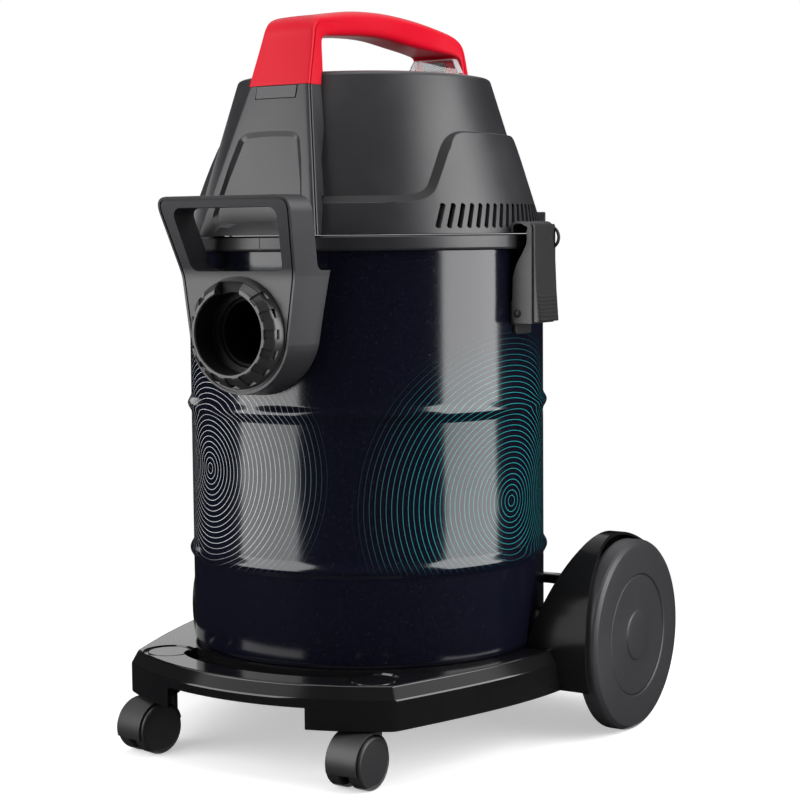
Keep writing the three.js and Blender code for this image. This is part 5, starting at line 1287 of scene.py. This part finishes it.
def caster_hood():
    def sector(inner, outer, low, high):
        inside = arc((0, 0), inner, 196, 12, 56) if inner else [(0, 0)]
        return slab(arc((0, 0), outer, 12, 196, 56) + inside, low, high, "X")

    band = soften(sector(21.65, 23.05, -13.9, 13.9), 0.4, angle=50)
    shape = carve(sector(0, 23.05, -4, 4), band, rod(7, -4, 4, 40, "X"), how="UNION")
    boss = carve(turned(rounded([(0, 28.7), (8, 28.7), (8, 44.2, 0.6), (0, 44.2)]), 48),
                 *[rod(21.65, low, high, 96, "X", **CASTER_AXIS) for low, high in ((4, 22), (-22, -4))])
    shape = carve(moved(shape, **CASTER_AXIS), boss, how="UNION")
    return carve(shape, rod(2.8, -17, 17, 32, "X", **CASTER_AXIS), rod(5.3, 32.75, 80, 40))


def caster_wheel(side):
    low = 4.3
    shape = turned(rounded([
        (2.8, low), (19.75, low, 0.5), (20.75, low + 1, 0.8), (20.75, 14.7, 1), (20.2, 15.9, 1),
        (18.8, 16.5, 0.8), (17.6, 16.1, 0.5), (0, 16.4), (0, 14.8), (2.8, 14.8),
    ], steps=5), 120, "X")
    return moved(flipped(shape) if side < 0 else shape, **CASTER_AXIS)


def caster_stem():
    return turned(rounded([(0, 33.05), (5, 33.05), (5, 69.5, 0.5), (4, 71.2, 0.4), (0, 71.2)]), 40)


def caster_axle():
    return rod(2.5, -14.5, 14.5, 32, "X", **CASTER_AXIS)


def placed(shape, side):
    degrees, x = (-10.5, -CASTER_X) if side == "left" else (-1.0, CASTER_X)
    return moved(swung(shape, degrees), x=x, y=CASTER_Y)


print("caster parts: hood, wheel, stem, axle")

# %% [markdown]
# Wheels and caps roll on their axles, which stay fixed in the dolly. A caster's hood, stem
# and axle swivel as one, and each of its two wheels rolls on its own.

# %% Wheels and casters in place
for side in ("left", "right"):
    for name, shape, finish, slot, body in (
            ("rear_wheel", rear_wheel(), wheel_grey, "wheel_plastic", f"wheel_{side}"),
            ("wheel_cap", wheel_cap(), wheel_grey, "wheel_plastic", f"wheel_{side}"),
            ("rear_axle", rear_axle(), bright_steel, "steel", "base")):
        moved(shape, y=WHEEL_Y, z=WHEEL_Z)
        name = f"{name}_{side}"
        piece(name, shape if side == "right" else flipped(shape), finish, slot, body, name)
    for name, shape, finish, slot, end in (
            ("hood", caster_hood(), caster_black, "wheel_plastic", ""),
            ("stem", caster_stem(), bright_steel, "steel", ""),
            ("axle", caster_axle(), bright_steel, "steel", ""),
            ("wheel", caster_wheel(-1), caster_black, "wheel_plastic", "_a"),
            ("wheel", caster_wheel(1), caster_black, "wheel_plastic", "_b")):
        body = f"caster_{side}_wheel{end}" if end else f"caster_{side}"
        name = f"caster_{name}_{side}{end}"
        piece(name, placed(shape, side), finish, slot, body, name, flat=True)

# %% [markdown]
# Under the head hang the filter and its float. The real filter is a pleated sleeve over a
# ribbed cage. The sleeve gets a woven finish: two fine waves, one up the wall and one round
# it, cross into a weave, and a slow noise soils it unevenly as dust does.

# %% Filter cloth
filter_cloth, tree, shader = new_material("filter_cloth")
centred, parts = about_drum(tree)
threads = [(maths(tree, "ARCTAN2", parts["X"], parts["Y"]), 420), (parts["Z"], 7000)]
waves = [maths(tree, "SINE", maths(tree, "MULTIPLY", way, count)) for way, count in threads]
weave = maths(tree, "MULTIPLY", *waves)
soiled = maths(tree, "MULTIPLY_ADD", weave, 0.12, noise(tree, centred, 26, 5, 0.6))
feed(tree, shader, {
    "Base Color": mix(tree, soiled, (0.62, 0.58, 0.5, 1), (0.4, 0.37, 0.32, 1)),
    "Roughness": 0.95, "Sheen Weight": 0.3, "Normal": bumped(tree, weave, 0.25),
})
print("filter cloth:", len(tree.nodes), "nodes")

# %% [markdown]
# The motor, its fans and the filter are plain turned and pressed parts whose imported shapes
# are already right. They keep those shapes and only take the finishes made above.

# %% Finishes of the inner parts
INNER_FINISHES = {
    "motor_gasket": rubber_black, "fan_casing": bright_steel, "suction_fan": bright_steel,
    "motor_frame": copper_core, "motor_shaft": bright_steel, "cooling_fan": natural_white,
    "filter_cage": satin_black, "filter_sleeve": filter_cloth, "filter_ring": rubber_black,
    "float": natural_white,
}
for name, material in INNER_FINISHES.items():
    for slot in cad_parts[name].material_slots:
        slot.material = material
print("inner parts:", ", ".join(INNER_FINISHES))
